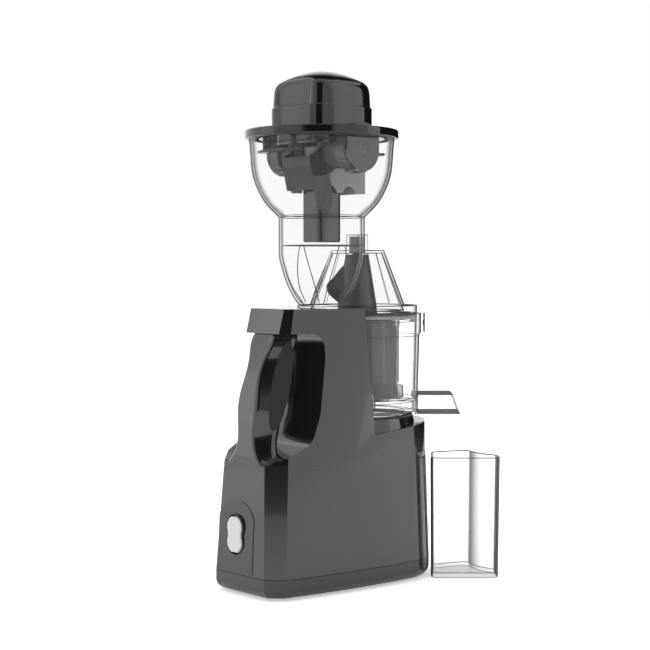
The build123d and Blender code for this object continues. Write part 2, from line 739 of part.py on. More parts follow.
def hex_rod(across, low, high):
    """A vertical hexagonal bar between two heights."""
    face = RegularPolygon(across / 2, 6, major_radius=False)
    return Pos(0, 0, low) * extrude(face, high - low, dir=(0, 0, 1))


def make_drive_shaft():
    """The output shaft, round in its bearings and six-sided where the auger sits."""
    shaft = rod(SHAFT_R, LOWER_BEARING_Z - 1, HEX_FOOT) + hex_rod(HEX_AF, HEX_FOOT - 1, HEX_TOP)
    top = shaft.faces().sort_by(Axis.Z)[-1]
    return chamfer(top.edges(), 0.8)


def make_axle(x):
    """A fixed axle between the gearbox plates."""
    return rod(AXLE_R, PLATE_LOW, COVER_TOP, x)


def gearbox_outline(grow=0.0):
    """Plan of the gearbox: a rounded shape round all four shafts."""
    spots = [(MOTOR_X, 20), (FIRST_X, 27), (SECOND_X, 27), (0, 34)]
    circles = [Pos(x, 0) * Circle(r + grow) for x, r in spots]
    face = circles[0]
    for circle in circles[1:]:
        face += circle
    face += Pos((MOTOR_X + SECOND_X) / 2, 0) * Rectangle(SECOND_X - MOTOR_X, 2 * (18 + grow))
    face += Pos(SECOND_X / 2, 0) * Rectangle(-SECOND_X, 2 * (25 + grow))
    return face


def gearbox_posts():
    """Where the posts of the gearbox stand."""
    return [(MOTOR_X - 12, -12.5), (MOTOR_X - 12, 12.5), (FIRST_X + 13, -28), (FIRST_X + 13, 28), (14, -35),
            (14, 35)]


def make_gearbox_plate():
    """The lower gearbox plate, on spacers from the motor's top."""
    plate = Pos(0, 0, PLATE_LOW) * extrude(gearbox_outline(), PLATE_TOP - PLATE_LOW, dir=(0, 0, 1))
    for x, y in gearbox_posts():
        plate += rod(4.5, PLATE_LOW, PLATE_TOP, x, y)
    for angle in (45, 135, 225, 315):
        spot = Vector(14, 0).rotate(Axis.Z, angle)
        plate += rod(3, MOTOR_TOP, PLATE_LOW, MOTOR_X + spot.X, spot.Y)
    plate -= rod(6, 0, 200, MOTOR_X)
    for x in (FIRST_X, SECOND_X):
        plate -= rod(AXLE_R, 0, 200, x)
    return plate - rod(SHAFT_R + 1, 0, 200)


def make_gearbox_cover():
    """The upper gearbox plate with the posts that reach down to the lower one."""
    cover = Pos(0, 0, COVER_LOW) * extrude(gearbox_outline(), COVER_TOP - COVER_LOW, dir=(0, 0, 1))
    for x, y in gearbox_posts():
        cover += rod(4.5, PLATE_TOP, COVER_TOP, x, y)
    for x, y in gearbox_posts():
        cover -= rod(1.5, PLATE_TOP + 8, COVER_TOP + 1, x, y)
    for x in (FIRST_X, SECOND_X):
        cover -= rod(AXLE_R, 0, 200, x)
    return cover - rod(SHAFT_R + 1, 0, 200)


def make_gearbox_screws():
    """Cheese-head screws in the gearbox posts."""
    screws = []
    for x, y in gearbox_posts():
        screw = rod(1.5, PLATE_TOP + 8, COVER_TOP, x, y) + rod(2.8, COVER_TOP, COVER_TOP + 1.8, x, y)
        screws.append(screw)
    return screws


def make_bearing(low):
    """A plain flanged bush for the output shaft."""
    return tube(BEARING_R, SHAFT_R + RUN, low, low + BEARING_T)


def make_lower_bearing():
    return make_bearing(LOWER_BEARING_Z)


def make_upper_bearing():
    return make_bearing(UPPER_BEARING_Z)


def make_first_axle():
    return make_axle(FIRST_X)


def make_second_axle():
    return make_axle(SECOND_X)


def make_housing_screws():
    """The four screws up through the skirt."""
    screws = []
    for x, y in screw_spots():
        low = FOOT_TOP + WALL + 3
        screws.append(rod(SCREW_R, low, SKIRT_TOP + 14, x, y) + rod(SCREW_HEAD_R, low - 2.5, low, x, y))
    return screws


def make_seat_ring():
    """The rubber ring that the bowl rests on."""
    return tube(56, 50, SEAT_Z, SEAT_Z + SEAT_T)


# ================================================================ bowl
def sector(inner, outer, low, high, middle, half_angle):
    """A ring sector between two heights, centred on an angle in degrees."""
    start = math.radians(middle - half_angle)
    end = math.radians(middle + half_angle)
    mid = math.radians(middle)
    at = lambda r, a: (r * math.cos(a), r * math.sin(a))
    outline = [
        Line(at(inner, start), at(outer, start)),
        ThreePointArc(at(outer, start), at(outer, mid), at(outer, end)),
        Line(at(outer, end), at(inner, end)),
        ThreePointArc(at(inner, end), at(inner, mid), at(inner, start)),
    ]
    return Pos(0, 0, low) * extrude(make_face(outline), high - low, dir=(0, 0, 1))


def bowl_shell():
    """The bowl's outer wall, its foot ring and rim, with an open top."""
    wall = cone(BOWL_FLOOR_R, BOWL_MOUTH_R, BOWL_LOW, RIM_LOW - 1)
    low_edge = wall.edges().sort_by(Axis.Z)[0]
    wall = fillet(low_edge, 2)
    wall += rod(RIM_R, RIM_LOW, BOWL_TOP)
    wall += cone(BOWL_MOUTH_R, RIM_R, RIM_LOW - 3, RIM_LOW)
    bore = cone(BOWL_FLOOR_R - BOWL_WALL, BOWL_MOUTH_R - BOWL_WALL, BOWL_LOW + BOWL_FLOOR_T, BOWL_TOP + 1)
    return wall - bore - rod(BOWL_SEAT_IN, BOWL_LOW - 1, BOWL_LOW + BOWL_FLOOR_T + 1)


def duct_prism(half, low, high, root, reach_low, reach_high):
    """The pulp duct's section along its own direction, with a slanted end."""
    outline = [(root, low), (reach_low, low), (reach_high, high), (root, high)]
    return around(side_prism(outline, -half, half), SPOUT_ANGLE)


def duct_bore():
    """The pulp duct's hollow outside the bowl's wall."""
    slope = (DUCT_REACH_LOW - DUCT_REACH_TOP) / (DUCT_TOP - DUCT_LOW)
    end_low = DUCT_REACH_LOW + 5 - slope * 2
    return duct_prism(DUCT_W / 2 - DUCT_WALL, DUCT_LOW + DUCT_WALL + 0.5, DUCT_TOP - DUCT_WALL, DUCT_ROOT + 2.6,
                      end_low, end_low - slope * 16)


def duct_body():
    """The pulp duct as a full bar."""
    return duct_prism(DUCT_W / 2, DUCT_LOW, DUCT_TOP, DUCT_ROOT, DUCT_REACH_LOW, DUCT_REACH_TOP)


def spout_rod(radius, start, end):
    """A cylinder along the juice spout."""
    bar = Cylinder(radius, end - start).moved(Location(((start + end) / 2, 0, JUICE_Z), (0, 90, 0)))
    return around(bar, JUICE_ANGLE)


def make_juicing_bowl():
    """The clear bowl: wall, juice deck, hub, pulp tunnel, the roots of its two outlets and a lug on the rim."""
    near = rod(PIPE_ROOT, 100, 300)
    bowl = bowl_shell()
    bowl += tube(BOWL_FLOOR_R - 1, HUB_R - 1, JUICE_DECK_LOW, JUICE_DECK_TOP)
    bowl += tube(HUB_R, HUB_BORE, BOWL_LOW + 1, HUB_TOP)
    bowl -= rod(SEAL_R, SEAL_LOW, HUB_TOP + 1)
    bowl += duct_prism(DUCT_W / 2, BOWL_LOW + 1, JUICE_DECK_LOW + 1, 16, DUCT_ROOT + 3, DUCT_ROOT + 3)
    bowl += duct_body() & near
    bowl -= duct_bore()
    bowl -= duct_prism(DUCT_W / 2 - DUCT_WALL, DUCT_LOW + DUCT_WALL + 0.5, JUICE_DECK_LOW, 18, DUCT_ROOT + 5,
                       DUCT_ROOT + 5)
    bowl -= sector(PULP_IN, PULP_OUT - 1, JUICE_DECK_LOW - 2, JUICE_DECK_TOP + 1, SPOUT_ANGLE, PULP_HALF_ANGLE - 3)
    inside = cone(BOWL_FLOOR_R - BOWL_WALL, BOWL_MOUTH_R - BOWL_WALL, BOWL_LOW + BOWL_FLOOR_T, BOWL_TOP)
    bowl += (spout_rod(JUICE_R, 55, JUICE_REACH) & near) - inside
    bowl -= spout_rod(JUICE_BORE, JUICE_REACH - 30, JUICE_REACH + 30)
    lug = block(RIM_R - 3, LUG_R, -LUG_W / 2, LUG_W / 2, RIM_LOW, BOWL_TOP)
    lug = fillet(lug.edges().filter_by(Axis.X), 3)
    eye = Cylinder(2.5, 2).moved(Location((LUG_R, 0, (RIM_LOW + BOWL_TOP) / 2), (0, 90, 0)))
    bowl += around(lug - eye, SPOUT_ANGLE)
    return bowl


def make_pulp_duct():
    """The pulp duct outside the bowl's wall, with its slanted end."""
    return duct_body() - rod(PIPE_ROOT, 100, 300) - duct_bore()


def make_juice_spout():
    """The juice spout outside the bowl's wall, with the ear and hinge pin of its cap."""
    ear = block(JUICE_REACH - 4, JUICE_REACH - 0.6, -3, 3, JUICE_Z + JUICE_R - 2, JUICE_Z + CAP_PIN_UP + 1.4)
    pin = Cylinder(1.5, 13).moved(Location((JUICE_REACH - 2, 0, JUICE_Z + CAP_PIN_UP), (90, 0, 0)))
    spout = spout_rod(JUICE_R, 55, JUICE_REACH) - rod(PIPE_ROOT, 100, 300)
    spout += around(ear + pin, JUICE_ANGLE)
    return spout - spout_rod(JUICE_BORE, JUICE_REACH - 30, JUICE_REACH + 30)


def make_shaft_seal():
    """The lip seal round the drive shaft."""
    return tube(SEAL_R, SHAFT_R + RUN, SEAL_LOW, HUB_TOP)


def make_juice_cap():
    """The flip cap on the juice spout, hanging from two eyes on the spout's hinge pin."""
    disc = Cylinder(JUICE_R + 1.5, 2.6).moved(Location((JUICE_REACH + FIT + 1.3, 0, JUICE_Z), (0, 90, 0)))
    tab = block(JUICE_REACH + FIT, JUICE_REACH + FIT + 2.6, -6, 6, JUICE_Z, JUICE_Z + CAP_PIN_UP + 3)
    cap = disc + tab
    for side in (-1, 1):
        y = side * 4.8
        eye = Cylinder(3.2, 2.4).moved(Location((JUICE_REACH - 2, y, JUICE_Z + CAP_PIN_UP), (90, 0, 0)))
        link = block(JUICE_REACH - 2, JUICE_REACH + FIT + 1, y - 1.2, y + 1.2, JUICE_Z + CAP_PIN_UP - 3,
                     JUICE_Z + CAP_PIN_UP + 3)
        cap += eye + link
    cap -= Cylinder(1.5 + RUN, 20).moved(Location((JUICE_REACH - 2, 0, JUICE_Z + CAP_PIN_UP), (90, 0, 0)))
    return around(cap, JUICE_ANGLE)


# ================================================================ strainer, wiper cage and auger
def make_strainer_frame():
    """The strainer's ribbed basket with its floor, pulp chute, idler pins and feet."""
    frame = tube(STRAINER_R, STRAINER_BORE, STRAINER_LOW, STRAINER_TOP)
    for i in range(WINDOW_COUNT):
        angle = 360 / WINDOW_COUNT * (i + 0.5)
        frame -= sector(STRAINER_BORE - 1, STRAINER_R + 1, WINDOW_LOW, WINDOW_TOP, angle, 8.5)
    frame += tube(STRAINER_R - 0.5, NECK_BORE, STRAINER_LOW, STRAINER_LOW + STRAINER_PLATE_T)
    chute = sector(PULP_IN - 1.2, PULP_OUT + 2, JUICE_DECK_TOP, STRAINER_LOW + 1, SPOUT_ANGLE,
                   PULP_HALF_ANGLE + 3)
    frame += chute
    frame -= sector(PULP_IN, PULP_OUT, 160, STRAINER_LOW + STRAINER_PLATE_T + 1, SPOUT_ANGLE, PULP_HALF_ANGLE)
    for angle in IDLER_ANGLES:
        frame += around(rod(3, JUICE_DECK_TOP + 0.5, STRAINER_LOW + 1, IDLER_ORBIT), angle)
    frame += sector(22, 33, JUICE_DECK_TOP, STRAINER_LOW + 1, SPOUT_ANGLE + 180, 16)
    return frame


def make_strainer_screen():
    """The fine sieve inside the basket, as a thin sleeve."""
    return tube(STRAINER_BORE, SCREEN_IN, WINDOW_LOW - 4, WINDOW_TOP + 3)


def make_idler(angle):
    """A small gear between the auger and the wiper cage."""
    first = 180.0 + angle
    wheel = Pos(0, 0, CAGE_GEAR_LOW) * extrude(gear_face(IDLER_TEETH, 1.0, first), CAGE_GEAR_TOP - CAGE_GEAR_LOW,
                                               dir=(0, 0, 1))
    wheel += rod(5, JUICE_DECK_TOP + 0.4, STRAINER_LOW - 0.4)
    wheel -= rod(3 + RUN, 160, 200)
    spot = Vector(IDLER_ORBIT, 0).rotate(Axis.Z, angle)
    return Pos(spot.X, spot.Y, 0) * wheel


def make_idler_a():
    return make_idler(IDLER_ANGLES[0])


def make_idler_b():
    return make_idler(IDLER_ANGLES[1])


def make_brush_frame():
    """The wiper cage: an inner-toothed ring at the foot, four posts and a top ring."""
    ring = rod(RING_R, CAGE_LOW, CAGE_GEAR_TOP + 3)
    teeth = Pos(0, 0, CAGE_LOW - 1) * extrude(gear_face(RING_TEETH, 1.0, IDLER_ANGLES[0], -BACKLASH, True), 30,
                                              dir=(0, 0, 1))
    cage = ring - teeth
    cage += tube(RING_R, CAGE_POST_IN + 3, CAGE_GEAR_TOP + 1, CAGE_GEAR_TOP + 4)
    for i in range(4):
        cage += sector(CAGE_POST_IN, CAGE_POST_OUT, CAGE_GEAR_TOP + 1, CAGE_TOP, 90 * i, CAGE_POST_HALF)
    cage += tube(CAGE_POST_OUT, CAGE_POST_IN, CAGE_TOP - 6, CAGE_TOP)
    return cage


def make_wiper_blades():
    """Four soft blades inside the cage's posts."""
    blades = []
    for i in range(4):
        blade = block(WIPER_IN, CAGE_POST_IN + 1.5, -WIPER_W / 2, WIPER_W / 2, WINDOW_LOW - 2, WINDOW_TOP)
        blade = around(blade, 90 * i) & rod(CAGE_POST_IN, 100, 300)
        blades.append(blade - rod(WIPER_IN, 100, 300))
    return blades


def flight(start):
    """One helical flight of the auger, starting at an angle."""
    path = Pos(0, 0, FLIGHT_LOW) * Helix(FLIGHT_TURN, FLIGHT_RISE, 24)
    section = Plane(origin=path @ 0, x_dir=(1, 0, 0), z_dir=path % 0) * Rectangle(18, FLIGHT_T)
    fin = sweep(section, path=path, is_frenet=True)
    return around(fin, start)


def make_auger_body():
    """The auger: a tapering core with two flights, a hooked blade on top, and a hex socket below."""
    core = cone(AUGER_FOOT_R, AUGER_WAIST_R, AUGER_FOOT_Z, AUGER_WAIST_Z)
    core += cone(AUGER_WAIST_R, AUGER_HEAD_R, AUGER_WAIST_Z, AUGER_HEAD_Z)
    core += rod(AUGER_PIN_R, AUGER_HEAD_Z - 1, AUGER_TOP)
    limit = rod(FLIGHT_R, AUGER_FOOT_Z + 0.5, AUGER_WAIST_Z)
    for start in (0, 180):
        core += flight(start) & limit
    tip = Spline((6, 311), (15, 306), (25, 294), (31, 286), (29, 279), (22, 272), (14, 263))
    root = Polyline((14, 263), (6, 263), (6, 311))
    blade = Pos(0, 2, 0) * extrude(make_face(Plane.XZ * (tip + root)), 4, dir=(0, -1, 0))
    core += around(blade, 138)
    neck = rod(AUGER_NECK_R, CAGE_GEAR_TOP, AUGER_FOOT_Z + 1)
    core += neck
    core -= rod(AUGER_BORE, 160, HUB_TOP + 0.6)
    core -= rod(SHAFT_R + 0.4, 160, HEX_FOOT + 0.6)
    core -= hex_rod(HEX_SOCKET_AF, HUB_TOP, HEX_TOP + 2)
    return core


def make_auger_gear():
    """The auger's foot gear."""
    first = IDLER_ANGLES[0] + 180 / AUGER_TEETH
    return gear(AUGER_TEETH, 1.0, CAGE_GEAR_LOW, CAGE_GEAR_TOP, 0, first, AUGER_BORE)


# ================================================================ hopper
def shrunk(points, inset):
    """An open (radius, height) line moved square to itself, towards the axis."""
    moved = []
    for i, (r, z) in enumerate(points):
        before = points[max(i - 1, 0)]
        after = points[min(i + 1, len(points) - 1)]
        dr = after[0] - before[0]
        dz = after[1] - before[1]
        length = math.hypot(dr, dz)
        moved.append((r - inset * dz / length, z + inset * dr / length))
    return moved


def egg_solid(inset):
    """The feed hopper's swelling column: a rounded foot, a plain neck and a wide mouth."""
    foot = shrunk([(20, HOPPER_LOW), (29.4, 277.7), (35.7, 291.6), (40.5, 307.6), (NECK_R, NECK_LOW)], inset)
    mouth = shrunk([(50, 361.7), (55, 367.3), (62.4, 379.5), (68.5, 397.3), (70.0, 411), (71.9, 431)], inset)
    low_z = foot[0][1]
    neck_r = NECK_R - inset
    corner_z = NECK_TOP + 0.6 * inset
    lines = [
        Line((0, low_z), foot[0]),
        Spline(*foot[:-1], (neck_r, NECK_LOW), tangents=[(1, 0.6), (0, 1)]),
        Line((neck_r, NECK_LOW), (neck_r, corner_z)),
        Line((neck_r, corner_z), mouth[0]),
        Spline(*mouth),
        Line(mouth[-1], (0, mouth[-1][1])),
        Line((0, mouth[-1][1]), (0, low_z)),
    ]
    return turned(Wire([line.edge() for line in lines]), HOPPER_X)


def make_hopper():
    """The clear hopper below its mouth: the feed column and the cone over the auger, as one cavity."""
    outer = egg_solid(0)
    outer += cone(CONE_FOOT_R, CONE_TOP_R, FLANGE_TOP - 1, CONE_TOP)
    outer += rod(BUSH_BOSS_R, CONE_TOP - 1, BUSH_TOP)
    outer += rod(FLANGE_R, FLANGE_LOW, FLANGE_TOP)
    outer += rod(SKIRT_OUT, SKIRT_LOW, FLANGE_LOW + 1)
    outer += tube(COLLAR_OUT, COLLAR_IN, COLLAR_BOTTOM, FLANGE_LOW)
    room = egg_solid(HOPPER_WALL)
    lean = (CONE_FOOT_R - CONE_TOP_R) / (CONE_TOP - FLANGE_TOP)
    low_r = CONE_FOOT_R - HOPPER_WALL * 1.08 + lean * (FLANGE_TOP - HOPPER_FLOOR)
    top_z = CONE_TOP - HOPPER_WALL
    high_r = low_r - lean * (top_z - HOPPER_FLOOR)
    room += cone(low_r, high_r, HOPPER_FLOOR, top_z)
    room += rod(COLLAR_IN, SKIRT_LOW - 5, HOPPER_FLOOR + 1)
    skirt_room = tube(SKIRT_IN, COLLAR_OUT, SKIRT_LOW - 1, FLANGE_LOW)
    under = rod(COLLAR_OUT + 1, SKIRT_LOW - 1, COLLAR_BOTTOM)
    hopper = outer - room - skirt_room - under
    hopper -= tube(FLANGE_R, SKIRT_OUT, SKIRT_LOW - 1, FLANGE_LOW)
    hopper -= rod(LID_R, NECK_TOP, HOPPER_TOP + 1, HOPPER_X)
    return hopper - rod(BUSH_R, 300, BUSH_TOP - 2)


def make_hopper_mouth():
    """The wide upper part of the hopper, from the neck's top corner to the lid."""
    wide = egg_solid(0) & rod(LID_R, NECK_TOP, HOPPER_TOP, HOPPER_X)
    return wide - egg_solid(HOPPER_WALL)


def make_top_bush():
    """The bush in the hopper that holds the auger's pin."""
    return tube(BUSH_R, AUGER_PIN_R + RUN, CONE_TOP - 3, BUSH_TOP - 2)


def make_hopper_seal():
    """The rubber ring round the hopper's skirt."""
    return tube(SKIRT_OUT + 1.7, SKIRT_OUT, SKIRT_LOW + 3, SKIRT_LOW + 6)


# ================================================================ hopper lid and gate
def y_rod(radius, y_low, y_high, z=GATE_Z):
    """A cylinder along Y on the gate's axle, between two places."""
    body = Cylinder(radius, y_high - y_low)
    return body.moved(Location((HOPPER_X, (y_low + y_high) / 2, z), (90, 0, 0)))


def both_sides(near_piece):
    """A piece and its mirror image across the hopper's middle plane."""
    return near_piece + near_piece.mirror(Plane.XZ)


def make_hopper_lid():
    """The black lid: a flanged ring with a square mouth, two humps and two ear plates for the gate."""
    lid = rod(LID_R, HOPPER_TOP, LID_TOP, HOPPER_X)
    lid = fillet(lid.edges(), 1.5)
    lid -= tube(67.5, 62, HOPPER_TOP - 1, HOPPER_TOP + 5, HOPPER_X)
    lid += square_prism(THROAT_COLLAR, THROAT_CORNER + 3, THROAT_LOW, HOPPER_TOP + 1, HOPPER_X)
    hump = y_rod(HUMP_R, DRUM_IN - 0.5, EAR_OUT) & block(-100, 30, 0, 100, HOPPER_TOP + 1, 460)
    ear = y_rod(EAR_HALF, EAR_IN, EAR_OUT)
    ear += block(HOPPER_X - EAR_HALF, HOPPER_X + EAR_HALF, EAR_IN, EAR_OUT, GATE_Z, HOPPER_TOP + 2)
    ear -= y_rod(GATE_PIN_R + RUN, EAR_IN - 1, EAR_OUT + 1)
    drum_room = y_rod(GATE_DRUM_R + 0.8, DRUM_IN - 0.8, DRUM_OUT + 0.4)
    hub_room = y_rod(GATE_HUB_R + 0.8, 10, DRUM_IN)
    lid += both_sides(hump)
    lid -= both_sides(drum_room)
    lid -= both_sides(hub_room)
    lid += both_sides(ear)
    lid -= square_prism(THROAT_HALF, THROAT_CORNER, THROAT_LOW - 1, LID_TOP + 1, HOPPER_X)
    slot = block(HOPPER_X - 9, HOPPER_X + 9, EAR_OUT - 0.8, EAR_OUT + 1, LID_TOP + 0.6, LID_TOP + 2)
    lid -= slot.mirror(Plane.XZ)
    guide_room = block(HOPPER_X + THROAT_HALF - 1, HOPPER_X + THROAT_COLLAR + 1, -GUIDE_HALF, GUIDE_HALF,
                       THROAT_LOW - 1, HOPPER_TOP)
    lid -= guide_room
    return lid


def flap_outline(shift_x, grow):
    """The flap's curved line, from its top end down, moved along X."""
    top = (HOPPER_X - 34.5 + shift_x, 412.0 + grow)
    middle = (HOPPER_X - 31.4 + shift_x, 396.6)
    low = (HOPPER_X - 27.5 + shift_x, GUIDE_LOW + 2 - grow)
    return top, middle, low


def curved_slab(shift_low, shift_high, grow, y_low, y_high):
    """The space between two moved copies of the flap's line, given thickness along Y."""
    a = flap_outline(shift_low, grow)
    b = flap_outline(shift_high, grow)
    lines = [Line(a[2], b[2]), ThreePointArc(b[2], b[1], b[0]), Line(b[0], a[0]), ThreePointArc(a[0], a[1], a[2])]
    face = make_face(Plane.XZ * Wire([line.edge() for line in lines]))
    return Pos(0, y_high, 0) * extrude(face, y_high - y_low, dir=(0, -1, 0))


def make_feed_chute():
    """The smoke-grey chute under the mouth, open towards the flap, with notches in its lower edge."""
    left = HOPPER_X - 30
    right = HOPPER_X + GUIDE_END
    chute = block(left, right, -GUIDE_HALF, GUIDE_HALF, GUIDE_LOW, HOPPER_TOP)
    inner = GUIDE_HALF - GUIDE_WALL
    chute -= block(left - 1, right - GUIDE_WALL, -inner, inner, GUIDE_LOW - 1, HOPPER_TOP + 1)
    chute -= curved_slab(-40, FLAP_T + 0.7, 0, -40, 40)
    chute -= block(left - 1, HOPPER_X - 24.6, -40, 40, GUIDE_LOW - 1, GUIDE_LOW + 2.5)
    chute -= block(left - 1, HOPPER_X - 20, -40, 40, GATE_Z - 7, HOPPER_TOP + 1)
    for x in (HOPPER_X - 4, HOPPER_X + 20):
        chute -= Cylinder(8, 60).moved(Location((x, 0, GUIDE_LOW - 1), (90, 0, 0)))
    return chute


def make_splash_guards():
    """Two curved shelves under the lid, each on two posts."""
    guards = []
    for middle in (0, 180):
        guard = sector(54, 64, 416, 418.5, middle, 30)
        for offset_angle in (-20, 20):
            guard += around(rod(2.5, 418, HOPPER_TOP, 59), middle + offset_angle)
        guards.append(Pos(HOPPER_X, 0, 0) * guard)
    return guards


def gate_arm(y_low, y_high):
    """A side arm of the gate, from its hub out to the flap."""
    top, middle, low = flap_outline(0.5, 0)
    spread = [(HOPPER_X - 4, GATE_Z + 12), (top[0], top[1]), middle, low, (HOPPER_X + 10, GATE_Z - 8)]
    return side_prism(spread, y_low, y_high) + y_rod(13, y_low, y_high)


def make_gate_flap():
    """The smoke-grey flap with its two arms; the near arm runs on into a tongue."""
    flap = curved_slab(0, FLAP_T, 0, -ARM_OUT, ARM_OUT)
    flap += both_sides(gate_arm(ARM_IN, ARM_OUT))
    tongue = [(-27.5, GUIDE_LOW + 2), (-16, 357), (-7, 357), (-4, 372), (-8, 398)]
    flap += side_prism([(HOPPER_X + x, z) for x, z in tongue], -ARM_OUT, -ARM_IN)
    return flap


def make_gate_hubs():
    """The gate's two hubs with their ribbed drums."""
    hubs = []
    for side in (1, -1):
        hub = y_rod(GATE_HUB_R, ARM_OUT, DRUM_IN)
        drum = y_rod(GATE_DRUM_R - 1.2, DRUM_IN, DRUM_OUT)
        for i in range(18):
            tooth = Box(2.2, DRUM_OUT - DRUM_IN, 3).moved(
                Location((0, (DRUM_IN + DRUM_OUT) / 2, GATE_DRUM_R - 1.55), (0, 0, 0)))
            drum += Pos(HOPPER_X, 0, GATE_Z) * (Rot(0, 20 * i, 0) * tooth)
        hub = hub + drum - y_rod(GATE_PIN_R, ARM_OUT - 1, DRUM_OUT + 1)
        hub -= y_rod(GATE_HUB_R - 4, ARM_OUT - 1, DRUM_IN - 6) - y_rod(GATE_PIN_R + 3, ARM_OUT - 1, DRUM_IN)
        hubs.append(hub if side == 1 else hub.mirror(Plane.XZ))
    return hubs


def make_gate_pins():
    """The gate's two stub axles, each from its arm to the lid's ear."""
    pin = y_rod(GATE_PIN_R, ARM_OUT, EAR_OUT)
    return [pin, pin.mirror(Plane.XZ)]


# ================================================================ pusher
def make_pusher_cap():
    """The pusher's hollow cap with a domed top and a shallow finger scoop at each end."""
    cap = square_prism(PUSHER_HALF, PUSHER_CORNER, LID_TOP, PUSHER_TOP, HOPPER_X)
    dome = Pos(HOPPER_X, 0, PUSHER_TOP - PUSHER_DOME_R) * Sphere(PUSHER_DOME_R)
    lift = rod(90, LID_TOP - 1, 470, HOPPER_X)
    cap = cap & (dome + lift)
    for side in (-1, 1):
        cap -= Pos(HOPPER_X + side * 74, 0, 480) * Sphere(36) & block(-200, 100, -60, 60, PUSHER_STEP_Z, 520)
    inner = square_prism(PUSHER_HALF - PUSHER_WALL, PUSHER_CORNER - PUSHER_WALL, LID_TOP - 1, 466, HOPPER_X)
    cap -= inner
    cap += square_prism(STEM_HALF - 2.4, STEM_CORNER - 2, 455, 470, HOPPER_X)
    return cap


def make_pusher_stem():
    """The pusher's hollow stem, closed at its foot and seated on the boss inside the cap."""
    stem = square_prism(STEM_HALF, STEM_CORNER, STEM_LOW, 466, HOPPER_X)
    foot = stem.faces().sort_by(Axis.Z)[0]
    stem = fillet(foot.edges(), 2)
    return stem - square_prism(STEM_HALF - 2.4, STEM_CORNER - 2, STEM_LOW + 2.5, 467, HOPPER_X)


# ================================================================ pulp cup
def cup_plan(inset):
    """The cup's plan: five corners, with the far side drawn in to clear the base."""
    near_left = (42.3 + inset * 0.9, -63.0 + inset * 0.2)
    near_right = (94.5 - inset * 0.2, -109.8 + inset * 1.1)
    right = (110.8 - inset, -91.6 + inset * 0.4)
    apex = (121.6 - inset * 1.2, -41.3 - inset * 0.8)
    left = (79.3 - inset * 0.2, -27.9 - inset)
    waist = (110.6 - inset, -64.0)
    edges = [Line(near_left, near_right), Line(near_right, right), ThreePointArc(right, waist, apex),
             Line(apex, left), Line(left, near_left)]
    face = make_face(Wire([edge.edge() for edge in edges]))
    return fillet(face.vertices(), CUP_CORNER - inset * 0.6)


def make_pulp_cup():
    """The loose clear cup that catches the pulp, with a thick floor."""
    top = FLOOR_Z + CUP_H
    low = Pos(0, 0, FLOOR_Z) * cup_plan(CUP_TAPER)
    cup = loft([low, Pos(0, 0, top) * cup_plan(0)], ruled=True)
    room_low = Pos(0, 0, FLOOR_Z + CUP_WALL + 2) * cup_plan(CUP_TAPER + CUP_WALL)
    room_high = Pos(0, 0, top + 1) * cup_plan(CUP_WALL)
    return cup - loft([room_low, room_high], ruled=True)


# ================================================================ all pieces
BUILDERS = {
    "main_housing": make_main_housing,
    "bottom_cover": make_bottom_cover,
    "rubber_feet": make_rubber_feet,
    "handle_grip": make_handle_grip,
    "grip_inlays": make_grip_inlays,
    "switch_panel": make_switch_panel,
    "switch_bezel": make_switch_bezel,
    "switch_module": make_switch_module,
    "switch_rocker": make_switch_rocker,
    "cord_gland": make_cord_gland,
    "control_board": make_control_board,
    "interlock_switch": make_interlock_switch,
    "seat_ring": make_seat_ring,
    "housing_screws": make_housing_screws,
    "motor_mounts": make_motor_mounts,
    "motor_can": make_motor_can,
    "motor_end_bell": make_motor_end_bell,
    "motor_rotor": make_motor_rotor,
    "motor_shaft": make_motor_shaft,
    "cooling_fan": make_cooling_fan,
    "motor_pinion": make_motor_pinion,
    "gearbox_plate": make_gearbox_plate,
    "gearbox_cover": make_gearbox_cover,
    "gearbox_screws": make_gearbox_screws,
    "first_axle": make_first_axle,
    "second_axle": make_second_axle,
    "first_gear": make_first_gear,
    "second_gear": make_second_gear,
    "output_gear": make_output_gear,
    "drive_shaft": make_drive_shaft,
    "lower_bearing": make_lower_bearing,
    "upper_bearing": make_upper_bearing,
    "juicing_bowl": make_juicing_bowl,
    "pulp_duct": make_pulp_duct,
    "juice_spout": make_juice_spout,
    "shaft_seal": make_shaft_seal,
    "juice_cap": make_juice_cap,
    "strainer_frame": make_strainer_frame,
    "strainer_screen": make_strainer_screen,
    "idler_a": make_idler_a,
    "idler_b": make_idler_b,
    "brush_frame": make_brush_frame,
    "wiper_blades": make_wiper_blades,
    "auger_body": make_auger_body,
    "auger_gear": make_auger_gear,
    "hopper": make_hopper,
    "hopper_mouth": make_hopper_mouth,
    "top_bush": make_top_bush,
    "hopper_seal": make_hopper_seal,
    "hopper_lid": make_hopper_lid,
    "feed_chute": make_feed_chute,
    "splash_guards": make_splash_guards,
    "gate_flap": make_gate_flap,
    "gate_hubs": make_gate_hubs,
    "gate_pins": make_gate_pins,
    "pusher_cap": make_pusher_cap,
    "pusher_stem": make_pusher_stem,
    "pulp_cup": make_pulp_cup,
}

os.makedirs("parts", exist_ok=True)
for node, make in BUILDERS.items():
    made = make()
    pieces = made if isinstance(made, list) else [made]
    save(node, *pieces)
    print(node)
